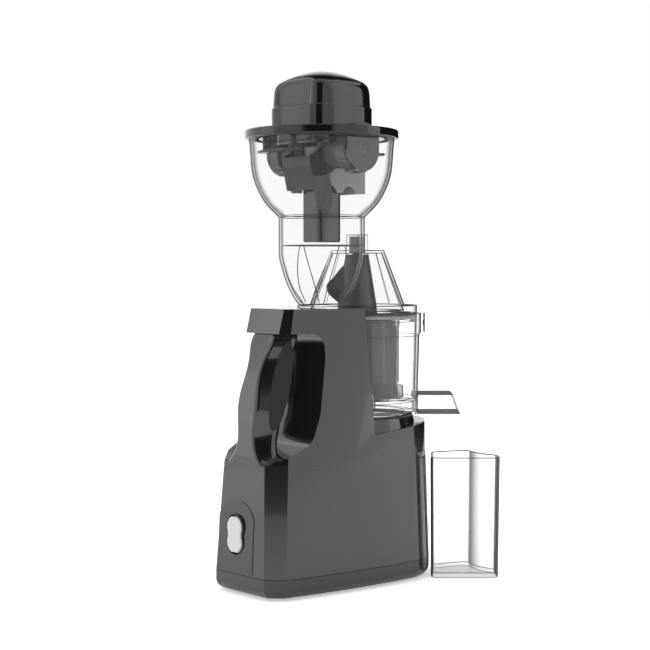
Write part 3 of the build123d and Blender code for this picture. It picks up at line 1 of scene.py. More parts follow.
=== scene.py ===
import bpy
import math
import numpy as np
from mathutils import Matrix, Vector


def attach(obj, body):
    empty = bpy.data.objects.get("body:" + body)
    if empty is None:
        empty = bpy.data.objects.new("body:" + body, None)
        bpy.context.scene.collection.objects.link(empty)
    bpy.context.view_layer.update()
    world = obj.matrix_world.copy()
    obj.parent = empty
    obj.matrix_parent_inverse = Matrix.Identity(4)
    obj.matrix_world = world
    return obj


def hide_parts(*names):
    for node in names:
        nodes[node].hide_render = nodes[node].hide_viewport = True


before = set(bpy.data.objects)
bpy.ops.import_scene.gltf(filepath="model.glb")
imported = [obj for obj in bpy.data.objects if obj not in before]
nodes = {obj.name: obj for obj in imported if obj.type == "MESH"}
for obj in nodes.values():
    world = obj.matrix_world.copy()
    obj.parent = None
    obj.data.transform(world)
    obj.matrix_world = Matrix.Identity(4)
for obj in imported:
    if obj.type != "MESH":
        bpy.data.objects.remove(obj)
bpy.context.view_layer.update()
print("frame loaded:", len(nodes), "nodes")

scene = bpy.context.scene
scene.view_settings.view_transform = "Standard"

# camera: about 1.5 m away at worktop-appliance height, a long lens looking a little down
shot = {
    "place": (-1.0384, -1.1048, 0.3134),
    "headingDeg": -42.0,
    "pitchDeg": 2.25,
    "lens": 83.1,
    "sensor": 36.0,
    "clipEnd": 50.0,
}


def makeCamera():
    data = bpy.data.cameras.new("camera")
    data.lens = shot["lens"]
    data.sensor_width = shot["sensor"]
    data.clip_end = shot["clipEnd"]
    eye = bpy.data.objects.new("camera", data)
    eye.location = shot["place"]
    eye.rotation_euler = (math.radians(90 - shot["pitchDeg"]), 0, math.radians(shot["headingDeg"]))
    scene.collection.objects.link(eye)
    scene.camera = eye


makeCamera()
print("camera placed")

# studio: a white room with a dark band behind and over the camera, and a black card beyond the bowl end
studio = {
    "roomColour": (1.0, 1.0, 1.0),
    "roomLevel": 0.95,
    "darkLevel": 0.015,
    "darkFrom": (-0.60, -0.55, 0.58),      # middle of the dark band
    "darkSide": (0.676, -0.735, 0.0),      # across the band
    "darkHalf": (0.30, 0.46),              # how far across it is full and where it ends, as sines
    "darkReach": (-0.25, -0.50),           # cosines from the middle where it is full and where it ends
    "cardColour": (0.004, 0.004, 0.004),
    "cardBearing": -2.0,
    "cardDistance": 1.3,
    "cardHalf": 0.95,
    "cardTop": 1.6,
    "floorColour": (0.93, 0.93, 0.93),
    "floorHalf": 6.0,
    "floorDrop": 0.0002,
    "floorGlow": 0.45,                     # only for the camera
}

softBoxes = {
    "boxLeft": {"place": (-1.3, 1.0, 0.8), "target": (0, 0, 0.25), "size": (0.8, 1.6), "power": 2.0},
    "boxRight": {"place": (1.0, -1.2, 0.8), "target": (0, 0, 0.25), "size": (0.8, 1.6), "power": 2.0},
    "boxTop": {"place": (-0.1, -0.1, 1.7), "target": (0, 0, 0.2), "size": (1.2, 1.2), "power": 3.0},
}


def addNode(tree, kind, spot=(0, 0), **settings):
    made = tree.nodes.new(kind)
    made.location = spot
    for key, value in settings.items():
        setattr(made, key, value)
    return made


def roomAlong(tree, value, full, end, row):
    # the room's level against one measure of direction: dark as far as full, light beyond end
    ramp = addNode(tree, "ShaderNodeMapRange", (-100, -200 * row), interpolation_type="SMOOTHSTEP")
    levels = (studio["darkLevel"], studio["roomLevel"])
    if full > end:
        levels = levels[::-1]
    ramp.inputs["From Min"].default_value = min(full, end)
    ramp.inputs["From Max"].default_value = max(full, end)
    ramp.inputs["To Min"].default_value, ramp.inputs["To Max"].default_value = levels
    tree.links.new(value, ramp.inputs["Value"])
    return ramp.outputs["Result"]


def makeWorld():
    world = bpy.data.worlds.new("studio")
    scene.world = world
    world.use_nodes = True
    tree = world.node_tree
    tree.nodes.clear()
    link = tree.links.new
    out = addNode(tree, "ShaderNodeOutputWorld", (900, 0))
    room = addNode(tree, "ShaderNodeBackground", (500, -100))
    room.inputs["Color"].default_value = (*studio["roomColour"], 1)
    seen = addNode(tree, "ShaderNodeBackground", (500, 100))
    seen.inputs["Color"].default_value = (1, 1, 1, 1)
    seen.inputs["Strength"].default_value = 1.0
    path = addNode(tree, "ShaderNodeLightPath", (100, 400))
    mix = addNode(tree, "ShaderNodeMixShader", (700, 0))
    coords = addNode(tree, "ShaderNodeTexCoord", (-700, -100))
    measures = []
    for row, axis in enumerate(("darkFrom", "darkSide")):
        dot = addNode(tree, "ShaderNodeVectorMath", (-500, -200 * row), operation="DOT_PRODUCT")
        dot.inputs[1].default_value = Vector(studio[axis]).normalized()
        link(coords.outputs["Generated"], dot.inputs[0])
        measures.append(dot.outputs["Value"])
    across = addNode(tree, "ShaderNodeMath", (-300, -200), operation="ABSOLUTE")
    link(measures[1], across.inputs[0])
    band = addNode(tree, "ShaderNodeMath", (100, -100), operation="MAXIMUM")
    link(roomAlong(tree, measures[0], *studio["darkReach"], 0), band.inputs[0])
    link(roomAlong(tree, across.outputs[0], *studio["darkHalf"], 1), band.inputs[1])
    # matt surfaces are lit by the whole room, without the band
    whole = addNode(tree, "ShaderNodeMath", (300, -100), operation="MAXIMUM")
    link(path.outputs["Is Diffuse Ray"], whole.inputs[0])
    link(band.outputs[0], whole.inputs[1])
    link(whole.outputs[0], room.inputs["Strength"])
    both = addNode(tree, "ShaderNodeMath", (300, 300), operation="MAXIMUM")
    link(path.outputs["Is Camera Ray"], both.inputs[0])
    link(path.outputs["Is Transmission Ray"], both.inputs[1])
    link(both.outputs[0], mix.inputs[0])
    link(room.outputs[0], mix.inputs[1])
    link(seen.outputs[0], mix.inputs[2])
    link(mix.outputs[0], out.inputs["Surface"])


def makeSoftBox(name, box):
    data = bpy.data.lights.new(name, "AREA")
    data.shape = "RECTANGLE"
    data.size, data.size_y = box["size"]
    data.energy = box["power"]
    lamp = bpy.data.objects.new(name, data)
    lamp.location = box["place"]
    aim = Vector(box["target"]) - Vector(box["place"])
    lamp.rotation_euler = aim.to_track_quat("-Z", "Y").to_euler()
    scene.collection.objects.link(lamp)


def makeFloor():
    half = studio["floorHalf"]
    mesh = bpy.data.meshes.new("studioFloor")
    corners = [(-half, -half, 0), (half, -half, 0), (half, half, 0), (-half, half, 0)]
    mesh.from_pydata(corners, [], [(0, 1, 2, 3)])
    floor = bpy.data.objects.new("studioFloor", mesh)
    floor.location.z = -studio["floorDrop"]
    scene.collection.objects.link(floor)
    mat = bpy.data.materials.new("studioFloor")
    mat.use_nodes = True
    tree = mat.node_tree
    tree.nodes.clear()
    out = addNode(tree, "ShaderNodeOutputMaterial", (700, 0))
    paper = addNode(tree, "ShaderNodeBsdfDiffuse", (100, 0))
    paper.inputs["Color"].default_value = (*studio["floorColour"], 1)
    glow = addNode(tree, "ShaderNodeEmission", (100, -200))
    glow.inputs["Strength"].default_value = studio["floorGlow"]
    path = addNode(tree, "ShaderNodeLightPath", (-200, 300))
    total = addNode(tree, "ShaderNodeAddShader", (300, -50))
    mix = addNode(tree, "ShaderNodeMixShader", (500, 0))
    link = tree.links.new
    link(paper.outputs[0], total.inputs[0])
    link(glow.outputs[0], total.inputs[1])
    link(path.outputs["Is Camera Ray"], mix.inputs[0])
    link(paper.outputs[0], mix.inputs[1])
    link(total.outputs[0], mix.inputs[2])
    link(mix.outputs[0], out.inputs["Surface"])
    mesh.materials.append(mat)


def makeCard():
    # seen only in reflections, and casts no shadow
    bearing = math.radians(studio["cardBearing"])
    out = Vector((math.cos(bearing), math.sin(bearing), 0))
    side = Vector((-out.y, out.x, 0)) * studio["cardHalf"]
    foot = out * studio["cardDistance"]
    top = Vector((0, 0, studio["cardTop"]))
    mesh = bpy.data.meshes.new("studioCard")
    mesh.from_pydata([foot - side, foot + side, foot + side + top, foot - side + top], [], [(0, 1, 2, 3)])
    mat = bpy.data.materials.new("studioCard")
    mat.use_nodes = True
    mat.node_tree.nodes.clear()
    end = addNode(mat.node_tree, "ShaderNodeOutputMaterial", (300, 0))
    black = addNode(mat.node_tree, "ShaderNodeBsdfDiffuse", (0, 0))
    black.inputs["Color"].default_value = (*studio["cardColour"], 1)
    mat.node_tree.links.new(black.outputs[0], end.inputs["Surface"])
    mesh.materials.append(mat)
    card = bpy.data.objects.new("studioCard", mesh)
    scene.collection.objects.link(card)
    card.visible_camera = False
    card.visible_diffuse = False
    card.visible_shadow = False


makeWorld()
makeFloor()
makeCard()
for name, box in softBoxes.items():
    makeSoftBox(name, box)
print("studio lit")


wear = {
    "smudgeScale": 18.0,
    "smudgeDetail": 4.0,
    "grainDetail": 2.0,
    "grainDepth": 0.0002,
    "coatRoughness": 0.04,
}


# an empty shader group with its sockets
def makeGroup(name, inputs, outputs):
    group = bpy.data.node_groups.new(name, "ShaderNodeTree")
    for label, kind, value in inputs:
        socket = group.interface.new_socket(label, in_out="INPUT", socket_type=kind)
        socket.default_value = value
    for label, kind in outputs:
        group.interface.new_socket(label, in_out="OUTPUT", socket_type=kind)
    return group


def makeHandlingWear():
    # shared by all the opaque plastics; faint smudges and fine dust: two noises of Object coordinates move
    # roughness and add a small bump
    group = makeGroup("handlingWear",
                      [("Roughness", "NodeSocketFloat", 0.2), ("Smudge", "NodeSocketFloat", 0.05),
                       ("Grain", "NodeSocketFloat", 0.02), ("Grain Size", "NodeSocketFloat", 900.0)],
                      [("Roughness", "NodeSocketFloat"), ("Normal", "NodeSocketVector")])
    entry = addNode(group, "NodeGroupInput", (-900, 0))
    leave = addNode(group, "NodeGroupOutput", (500, 0))
    coords = addNode(group, "ShaderNodeTexCoord", (-900, -300))
    smudge = addNode(group, "ShaderNodeTexNoise", (-600, 200))
    smudge.inputs["Scale"].default_value = wear["smudgeScale"]
    smudge.inputs["Detail"].default_value = wear["smudgeDetail"]
    centred = addNode(group, "ShaderNodeMath", (-400, 200), operation="SUBTRACT")
    centred.inputs[1].default_value = 0.5
    scaled = addNode(group, "ShaderNodeMath", (-200, 200), operation="MULTIPLY")
    rough = addNode(group, "ShaderNodeMath", (0, 200), operation="ADD")
    rough.use_clamp = True
    grain = addNode(group, "ShaderNodeTexNoise", (-600, -200))
    grain.inputs["Detail"].default_value = wear["grainDetail"]
    bump = addNode(group, "ShaderNodeBump", (200, -200))
    bump.inputs["Distance"].default_value = wear["grainDepth"]
    link = group.links.new
    link(coords.outputs["Object"], smudge.inputs["Vector"])
    link(smudge.outputs["Fac"], centred.inputs[0])
    link(centred.outputs[0], scaled.inputs[0])
    link(entry.outputs["Smudge"], scaled.inputs[1])
    link(scaled.outputs[0], rough.inputs[0])
    link(entry.outputs["Roughness"], rough.inputs[1])
    link(coords.outputs["Object"], grain.inputs["Vector"])
    link(entry.outputs["Grain Size"], grain.inputs["Scale"])
    link(entry.outputs["Grain"], bump.inputs["Strength"])
    link(grain.outputs["Fac"], bump.inputs["Height"])
    link(rough.outputs[0], leave.inputs["Roughness"])
    link(bump.outputs["Normal"], leave.inputs["Normal"])
    return group


handlingWear = makeHandlingWear()


def startMaterial(name):
    mat = bpy.data.materials.new(name)
    mat.use_nodes = True
    tree = mat.node_tree
    tree.nodes.clear()
    out = addNode(tree, "ShaderNodeOutputMaterial", (800, 0))
    return mat, tree, out


def opaquePlastic(name, colour, roughness, smudge=0.06, grain=0.02, grainSize=900.0, coat=0.0, metallic=0.0,
                  specular=0.5):
    mat, tree, out = startMaterial(name)
    shader = addNode(tree, "ShaderNodeBsdfPrincipled", (400, 0))
    shader.inputs["Base Color"].default_value = (*colour, 1)
    shader.inputs["Metallic"].default_value = metallic
    shader.inputs["Specular IOR Level"].default_value = specular
    shader.inputs["Coat Weight"].default_value = coat
    shader.inputs["Coat Roughness"].default_value = wear["coatRoughness"]
    worn = addNode(tree, "ShaderNodeGroup", (0, 0))
    worn.node_tree = handlingWear
    worn.inputs["Roughness"].default_value = roughness
    worn.inputs["Smudge"].default_value = smudge
    worn.inputs["Grain"].default_value = grain
    worn.inputs["Grain Size"].default_value = grainSize
    tree.links.new(worn.outputs["Roughness"], shader.inputs["Roughness"])
    tree.links.new(worn.outputs["Normal"], shader.inputs["Normal"])
    tree.links.new(shader.outputs[0], out.inputs["Surface"])
    return mat


levelFaces = {
    "begin": 0.80,     # upright share of a normal where a face starts to count as level
    "full": 0.95,
}


def clearPlastic(name, colour, paintedEdgeShade, body, edge, start, full, flatFade=0.0, roughness=0.04,
                 specular=0.15, edgeSpecular=0.0):
    # see-through plastic: alpha rises from body, seen square on, to edge, seen along the surface, and the
    # base colour turns to the dark edge colour with it: painted shade standing in for the dark lines that
    # refraction and reflection draw along a clear part's edges;
    # start and full are where on the scale from square on to along the surface the rise begins and ends;
    # flatFade takes the rise and its painted shade back on level faces, which low views always see along the
    # surface
    mat, tree, out = startMaterial(name)
    shader = addNode(tree, "ShaderNodeBsdfPrincipled", (500, 0))
    shader.inputs["Roughness"].default_value = roughness
    facing = addNode(tree, "ShaderNodeLayerWeight", (-500, 0))
    facing.inputs["Blend"].default_value = 0.5
    steep = addNode(tree, "ShaderNodeMapRange", (-300, 0), interpolation_type="SMOOTHSTEP")
    steep.inputs["From Min"].default_value = start
    steep.inputs["From Max"].default_value = full
    coords = addNode(tree, "ShaderNodeTexCoord", (-900, -300))
    parts = addNode(tree, "ShaderNodeSeparateXYZ", (-700, -300))
    level = addNode(tree, "ShaderNodeMath", (-500, -300), operation="ABSOLUTE")
    fade = addNode(tree, "ShaderNodeMapRange", (-300, -300))
    fade.inputs["From Min"].default_value = levelFaces["begin"]
    fade.inputs["From Max"].default_value = levelFaces["full"]
    fade.inputs["To Min"].default_value = 1.0
    fade.inputs["To Max"].default_value = 1.0 - flatFade
    rise = addNode(tree, "ShaderNodeMath", (-200, 0), operation="MULTIPLY")
    span = addNode(tree, "ShaderNodeMapRange", (-100, -100))
    span.inputs["To Min"].default_value = body
    span.inputs["To Max"].default_value = edge
    shine = addNode(tree, "ShaderNodeMapRange", (-100, -350))
    shine.inputs["To Min"].default_value = specular
    shine.inputs["To Max"].default_value = edgeSpecular
    # painted shade: the base colour goes over to the dark edge colour where the surface is seen along its
    # face
    edgeShadeTint = addNode(tree, "ShaderNodeMix", (100, 100), data_type="RGBA")
    edgeShadeTint.inputs["A"].default_value = (*colour, 1)
    edgeShadeTint.inputs["B"].default_value = (*paintedEdgeShade, 1)
    link = tree.links.new
    link(facing.outputs["Facing"], steep.inputs["Value"])
    link(coords.outputs["Normal"], parts.inputs[0])
    link(parts.outputs["Z"], level.inputs[0])
    link(level.outputs[0], fade.inputs["Value"])
    link(steep.outputs["Result"], rise.inputs[0])
    link(fade.outputs["Result"], rise.inputs[1])
    link(rise.outputs[0], span.inputs["Value"])
    link(rise.outputs[0], shine.inputs["Value"])
    link(rise.outputs[0], edgeShadeTint.inputs["Factor"])
    link(edgeShadeTint.outputs["Result"], shader.inputs["Base Color"])
    link(span.outputs["Result"], shader.inputs["Alpha"])
    link(shine.outputs["Result"], shader.inputs["Specular IOR Level"])
    link(shader.outputs[0], out.inputs["Surface"])
    return mat


finish = {
    "housing": opaquePlastic("housingGloss", (0.008, 0.008, 0.0085), roughness=0.14,
                             smudge=0.03, grain=0.01, coat=1.0, specular=0.65),
    "skirt": opaquePlastic("skirtGloss", (0.008, 0.008, 0.0085), roughness=0.17,
                           smudge=0.04, grain=0.015, coat=1.0),
    "footRubber": opaquePlastic("footRubber", (0.02, 0.02, 0.02), roughness=0.8, grain=0.3, grainSize=500),
    "gripInlay": opaquePlastic("gripInlay", (0.012, 0.012, 0.013), roughness=0.45,
                               grain=0.2, grainSize=700),
    "switchPlate": opaquePlastic("switchPlate", (0.020, 0.020, 0.021), roughness=0.18, coat=0.8),
    "switchTrim": opaquePlastic("switchTrim", (0.02, 0.02, 0.02), roughness=0.3, grain=0.01),
    "rocker": opaquePlastic("rockerSilver", (0.66, 0.67, 0.69), roughness=0.25, grain=0.01, coat=0.3),
    "lid": opaquePlastic("lidBlack", (0.006, 0.006, 0.0065), roughness=0.10,
                         smudge=0.02, grain=0.01, coat=0.45),
    "auger": opaquePlastic("augerDark", (0.040, 0.041, 0.043), roughness=0.28, smudge=0.08, grain=0.06),
    "strainer": opaquePlastic("strainerDark", (0.03, 0.03, 0.033), roughness=0.35, smudge=0.08, grain=0.06),
    "seal": opaquePlastic("sealSilicone", (0.25, 0.26, 0.27), roughness=0.5, grain=0.1),
    "steel": opaquePlastic("steel", (0.6, 0.6, 0.61), roughness=0.25, metallic=1.0, grain=0.03),
    "gear": opaquePlastic("gearNylon", (0.5, 0.49, 0.46), roughness=0.45, grain=0.05),
    "brass": opaquePlastic("bearingBrass", (0.75, 0.56, 0.25), roughness=0.3, metallic=1.0),
    "iron": opaquePlastic("coreIron", (0.16, 0.14, 0.13), roughness=0.5, metallic=0.7, grain=0.2),
    "board": opaquePlastic("circuitBoard", (0.02, 0.10, 0.04), roughness=0.35),
    "inner": opaquePlastic("innerPlastic", (0.05, 0.05, 0.05), roughness=0.5),
    "bush": opaquePlastic("bushGrey", (0.20, 0.20, 0.21), roughness=0.4, grain=0.05),
    # the clear, smoke and cage finishes below turn to their second, darker colour where seen along the
    # surface: painted shade at their edges
    "clear": clearPlastic("clearShell", (0.72, 0.74, 0.75), (0.02, 0.02, 0.022),
                          body=0.025, edge=0.97, start=0.58, full=0.90),
    "clearBowl": clearPlastic("clearBowl", (0.72, 0.74, 0.75), (0.02, 0.02, 0.022),
                              body=0.03, edge=0.97, start=0.58, full=0.90, flatFade=0.85),
    "clearDuct": clearPlastic("clearDuct", (0.60, 0.61, 0.62), (0.06, 0.061, 0.063),
                              body=0.05, edge=0.93, start=0.58, full=0.90),
    "clearCup": clearPlastic("clearCup", (0.55, 0.56, 0.57), (0.02, 0.02, 0.022),
                             body=0.06, edge=0.95, start=0.22, full=0.88, flatFade=0.8),
    # painted light: the chute's smoke has a lighter base colour than the smoke shell, to lift it out of the
    # shade it sits in
    "chute": clearPlastic("chuteSmokePaintedLight", (0.24, 0.242, 0.246), (0.05, 0.05, 0.052),
                          body=0.84, edge=0.98, start=0.5, full=1.0, specular=0.4),
    "clearSpout": clearPlastic("clearSpout", (0.45, 0.46, 0.47), (0.03, 0.03, 0.032),
                               body=0.25, edge=0.97, start=0.10, full=0.85),
    # dark finishes for the tubes drawn along clear edges, ribs and corners: painted shade
    "cupCornerShade": opaquePlastic("cupCornerShade", (0.012, 0.012, 0.013), roughness=0.5,
                             smudge=0.0, grain=0.0, specular=0.1),
    "edge": opaquePlastic("clearEdgeShadeLine", (0.035, 0.036, 0.038), roughness=0.12,
                          smudge=0.0, grain=0.0, coat=0.3),
    "smoke": clearPlastic("smokeShell", (0.11, 0.111, 0.114), (0.03, 0.03, 0.032),
                          body=0.80, edge=0.98, start=0.4, full=1.0, specular=0.4),
    "smokeDark": clearPlastic("smokeDark", (0.022, 0.022, 0.023), (0.01, 0.01, 0.01),
                              body=0.90, edge=1.0, start=0.4, full=1.0, specular=0.4),
    "cage": clearPlastic("cageSmoke", (0.20, 0.202, 0.206), (0.03, 0.03, 0.032),
                         body=0.45, edge=0.95, start=0.6, full=1.0),
}

dress = {
    "housing": ["main_housing", "handle_grip"],
    "skirt": ["bottom_cover"],
    "footRubber": ["rubber_feet", "cord_gland", "seat_ring", "motor_mounts"],
    "gripInlay": ["grip_inlays"],
    "switchPlate": ["switch_panel"],
    "switchTrim": ["switch_bezel"],
    "rocker": ["switch_rocker"],
    "lid": ["hopper_lid", "pusher_cap", "pusher_stem", "juice_cap"],
    "auger": ["auger_body"],
    "strainer": ["strainer_frame"],
    "cage": ["brush_frame"],
    "seal": ["wiper_blades", "shaft_seal", "hopper_seal"],
    "steel": ["strainer_screen", "drive_shaft", "housing_screws", "motor_can", "motor_end_bell",
              "motor_shaft", "motor_pinion", "gearbox_plate", "gearbox_cover", "gearbox_screws", "first_axle",
              "second_axle"],
    "gear": ["idler_a", "idler_b", "auger_gear", "first_gear", "second_gear", "output_gear"],
    "bush": ["top_bush"],
    "brass": ["lower_bearing", "upper_bearing"],
    "iron": ["motor_rotor"],
    "board": ["control_board"],
    "inner": ["switch_module", "interlock_switch", "cooling_fan"],
    "clear": ["hopper", "hopper_mouth"],
    "clearSpout": ["juice_spout"],
    "clearDuct": ["pulp_duct"],
    "clearBowl": ["juicing_bowl"],
    "clearCup": ["pulp_cup"],
    "chute": ["feed_chute"],
    "smoke": ["gate_hubs", "gate_pins"],
    "smokeDark": ["gate_flap", "splash_guards"],
}
for look, names in dress.items():
    for name in names:
        slots = nodes[name].data.materials
        for i in range(len(slots)):
            slots[i] = finish[look]
print("frame nodes dressed")


# new pieces: surfaces on a grid of two parameters, in millimetres until they become a mesh
def gridFaces(rows, columns, closed):
    # quads between neighbouring rows; closed joins the last column to the first
    i = np.arange(rows - 1)[:, None]
    j = np.arange(columns if closed else columns - 1)[None, :]
    k = (j + 1) % columns
    quads = np.stack([i * columns + j, i * columns + k, (i + 1) * columns + k, (i + 1) * columns + j], -1)
    return quads.reshape(-1, 4)


def makeMesh(name, points, faces, look, smooth=True):
    mesh = bpy.data.meshes.new(name)
    mesh.from_pydata((np.asarray(points) * 0.001).tolist(), [], np.asarray(faces).tolist())
    mesh.validate()
    if smooth:
        mesh.polygons.foreach_set("use_smooth", np.ones(len(mesh.polygons), bool))
    mesh.materials.append(finish[look])
    made = bpy.data.objects.new(name, mesh)
    scene.collection.objects.link(made)
    return made


def gridPiece(name, surface, look, closed=True):
    rows, columns = surface.shape[:2]
    return makeMesh(name, surface.reshape(-1, 3), gridFaces(rows, columns, closed), look)


def smoothStep(low, high, value):
    t = np.clip((value - low) / (high - low), 0, 1)
    return t * t * (3 - 2 * t)


pusherCap = {
    "centreX": -48.0,
    "foot": 446.4,
    "footEdge": 0.5,         # small rounding at the foot
    "step": 468.0,
    "shoulder": 485.0,       # where the close rows of the dome begin
    "collarRoom": (3.0, 0.6),  # left free of rows above the foot and below the step
    "collarRows": 8,
    "stepRows": (-0.15, 0.5, 1.6),
    "sideRoom": 3.0,         # left free of rows above the step
    "sideRows": 12,
    "collarHalf": 41.2,
    "waistHalf": 40.0,
    "shoulderHalf": 39.4,
    "sideRise": 20.0,        # height over which the waist leans in to the shoulder
    "top": 504.2,
    "domeRise": 19.2,
    "domeRows": 26,
    "domeSpread": 1.6,       # above 1 the dome's rows crowd towards its top
    "domeRadius": 60.0,
    "domeLeast": 0.5,        # half width that the dome keeps at its tip
    "brow": 14.0,            # the higher, the crisper the turn from side to dome
    "squareness": 4.2,       # exponent of the plan's superellipse
    "topSquareness": 2.2,
    "softenFrom": 491.0,
    "softenTo": 504.0,
    "scoopStart": (-0.2, 2.2),  # heights from the step over which the finger faces begin
    "scoopAt": 36.6,         # distance of the two flat finger faces from the middle
    "scoopHalf": 27.0,
    "scoopFade": (6.0, 4.0), # inside and outside the end of a finger face
    "scoopRoom": 9.0,        # how far the face moves out beyond its ends
    "scoopBend": 10.0,
    "scoopBlend": (20.0, 32.0),
    "columns": 160,
    "wall": 3.0,
}


def capHeights(cap):
    # rows at the foot, up the collar, close over the step, up the side, then over the dome
    dome = np.cos(np.linspace(0, np.pi / 2, cap["domeRows"])[1:-1]) ** cap["domeSpread"]
    foot, step = cap["foot"], cap["step"]
    aboveFoot, belowStep = cap["collarRoom"]
    return np.concatenate([
        [foot, foot + cap["footEdge"]],
        np.linspace(foot + aboveFoot, step - belowStep, cap["collarRows"]),
        [step + rise for rise in cap["stepRows"]],
        np.linspace(step + cap["sideRoom"], cap["shoulder"], cap["sideRows"]),
        cap["top"] - cap["domeRise"] * dome,
    ])


def scoopSides(cap, x, y, z):
    # a soft minimum of |x| and the finger face's distance: (|x|^-bend + limit^-bend)^(-1/bend)
    inner, outer = cap["scoopFade"]
    ends = smoothStep(cap["scoopHalf"] - inner, cap["scoopHalf"] + outer, np.abs(y))
    begin, done = cap["scoopStart"]
    above = smoothStep(cap["step"] + begin, cap["step"] + done, z)
    limit = cap["scoopAt"] + cap["scoopRoom"] * ends
    limit = limit + cap["scoopRoom"] * (1 - above)
    bend = cap["scoopBend"]
    near, far = cap["scoopBlend"]
    cut = (np.maximum(np.abs(x), 1e-3) ** -bend + limit ** -bend) ** (-1 / bend)
    cut = np.where(np.abs(x) > near, np.minimum(cut, np.abs(x)), np.abs(x))
    blend = smoothStep(near, far, np.abs(x))
    return np.sign(x) * (np.abs(x) * (1 - blend) + cut * blend)


def makePusherCap(cap):
    # plan at each height: |x|^n + |y|^n = half^n; half follows the collar, the waist and a dome of one radius
    heights = capHeights(cap)
    centreZ = cap["top"] - cap["domeRadius"]
    dome = np.sqrt(np.clip(cap["domeRadius"] ** 2 - (heights - centreZ) ** 2, 0, None))
    lean = (cap["shoulderHalf"] - cap["waistHalf"]) * (heights - cap["step"]) / cap["sideRise"]
    side = np.where(heights < cap["step"], cap["collarHalf"], cap["waistHalf"] + lean)
    side[0] -= cap["footEdge"]
    brow = cap["brow"]
    half = (side ** -brow + np.maximum(dome, cap["domeLeast"]) ** -brow) ** (-1 / brow)
    soften = smoothStep(cap["softenFrom"], cap["softenTo"], heights)
    power = cap["squareness"] - (cap["squareness"] - cap["topSquareness"]) * soften
    angle = np.linspace(0, 2 * np.pi, cap["columns"], endpoint=False)
    c, s = np.cos(angle)[None, :], np.sin(angle)[None, :]
    n = power[:, None]
    reach = (np.abs(c) ** n + np.abs(s) ** n) ** (-1 / n) * half[:, None]
    x, y = reach * c, reach * s
    z = np.repeat(heights[:, None], len(angle), 1)
    surface = np.stack([scoopSides(cap, x, y, z) + cap["centreX"], y, z], -1)
    tip = np.zeros((1, len(angle), 3))
    tip[..., 0], tip[..., 2] = cap["centreX"], cap["top"]
    return np.concatenate([surface, tip], 0)


capPiece = gridPiece("pusherCapShell", makePusherCap(pusherCap), "lid")
wall = capPiece.modifiers.new("wall", "SOLIDIFY")
wall.thickness = pusherCap["wall"] / 1000
wall.offset = -1
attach(capPiece, "pusher")
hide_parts("pusher_cap")
print("pusher made")

tiny = 1e-12                 # lengths below this count as nothing

sharpEdges = {
    "merge": 50000,          # corners nearer than a 50,000th of a metre are one
    "cosine": 0.77,          # faces that meet at more than about 40 degrees
}


# the sharp edges of a clear piece, as pairs of points
def sharpLines(node):
    mesh = nodes[node].data
    spots, keys, places = {}, [], []
    matrix = nodes[node].matrix_world
    for vertex in mesh.vertices:
        place = matrix @ vertex.co
        key = tuple(round(v * sharpEdges["merge"]) for v in place)
        if key not in spots:
            spots[key] = len(places)
            places.append(place)
        keys.append(spots[key])
    faces = {}
    for polygon in mesh.polygons:
        ring = [keys[i] for i in polygon.vertices]
        normal = (places[ring[1]] - places[ring[0]]).cross(places[ring[2]] - places[ring[0]])
        if normal.length < tiny:
            continue
        normal.normalize()
        for i in range(len(ring)):
            a, b = ring[i], ring[(i + 1) % len(ring)]
            faces.setdefault((min(a, b), max(a, b)), []).append(normal)
    sharp = [pair for pair, sides in faces.items()
             if len(sides) == 2 and sides[0].dot(sides[1]) < sharpEdges["cosine"]]
    return [(places[a], places[b]) for a, b in sharp]


tubes = {
    "overlap": 0.2,          # share of the radius by which a prism runs past its segment's ends
    "upright": 0.9,          # a segment steeper than this is crossed with x, any other with z
}


def tubeMesh(name, segments, radius, sides, look):
    # a prism round each segment, in metres; no corner of it goes below the floor
    ends = np.array([[list(a), list(b)] for a, b in segments])
    along = ends[:, 1] - ends[:, 0]
    along /= np.maximum(np.linalg.norm(along, axis=1, keepdims=True), tiny)
    helper = np.where(np.abs(along[:, 2:3]) < tubes["upright"], [[0.0, 0.0, 1.0]], [[1.0, 0.0, 0.0]])
    across = np.cross(along, helper)
    across /= np.linalg.norm(across, axis=1, keepdims=True)
    up = np.cross(along, across)
    angle = np.linspace(0, 2 * np.pi, sides, endpoint=False)
    c, s = np.cos(angle)[None, :, None], np.sin(angle)[None, :, None]
    ring = radius * (c * across[:, None, :] + s * up[:, None, :])
    stretch = tubes["overlap"] * radius * along[:, None, :]
    points = np.stack([ends[:, :1] - stretch + ring, ends[:, 1:] + stretch + ring], 1)
    points[..., 2] = np.maximum(points[..., 2], 0)
    count = len(segments)
    first = np.arange(count)[:, None] * 2 * sides
    j = np.arange(sides)[None, :]
    k = (j + 1) % sides
    quads = np.stack([first + j, first + k, first + sides + k, first + sides + j], -1).reshape(-1, 4)
    return makeMesh(name, points.reshape(-1, 3) * 1000, quads, look)


def circleLine(radius, height, centreX=0.0, steps=96):
    angle = np.linspace(0, 2 * np.pi, steps, endpoint=False)
    x, y = centreX + radius * np.cos(angle), radius * np.sin(angle)
    ring = np.stack([x, y, np.full(steps, height)], -1) / 1000
    return list(zip(ring, np.roll(ring, -1, 0)))


def pathLine(points):
    metres = np.asarray(points, float) / 1000
    return list(zip(metres[:-1], metres[1:]))


# dark tubes along the hopper's inner ribs and ledge ring: the ribs and ledge are real, their dark colour is
# painted shade from refraction
hopperRibs = {
    "centreX": -48.0,
    "ledgeRadius": 39.8,
    "ledgeHeight": 333.6,
    "count": 6,
    "start": 22.0,
    "twist": 0.006,          # radians for each mm down
    "steps": 30,
    "smoothing": 7,          # odd number of steps that are averaged
    "radius": 0.0005,
    "sides": 8,
    "profile": ((39.8, 329.0), (37.9, 314.6), (33.2, 299.4), (27.2, 286.6), (19.0, 277.6)),
}


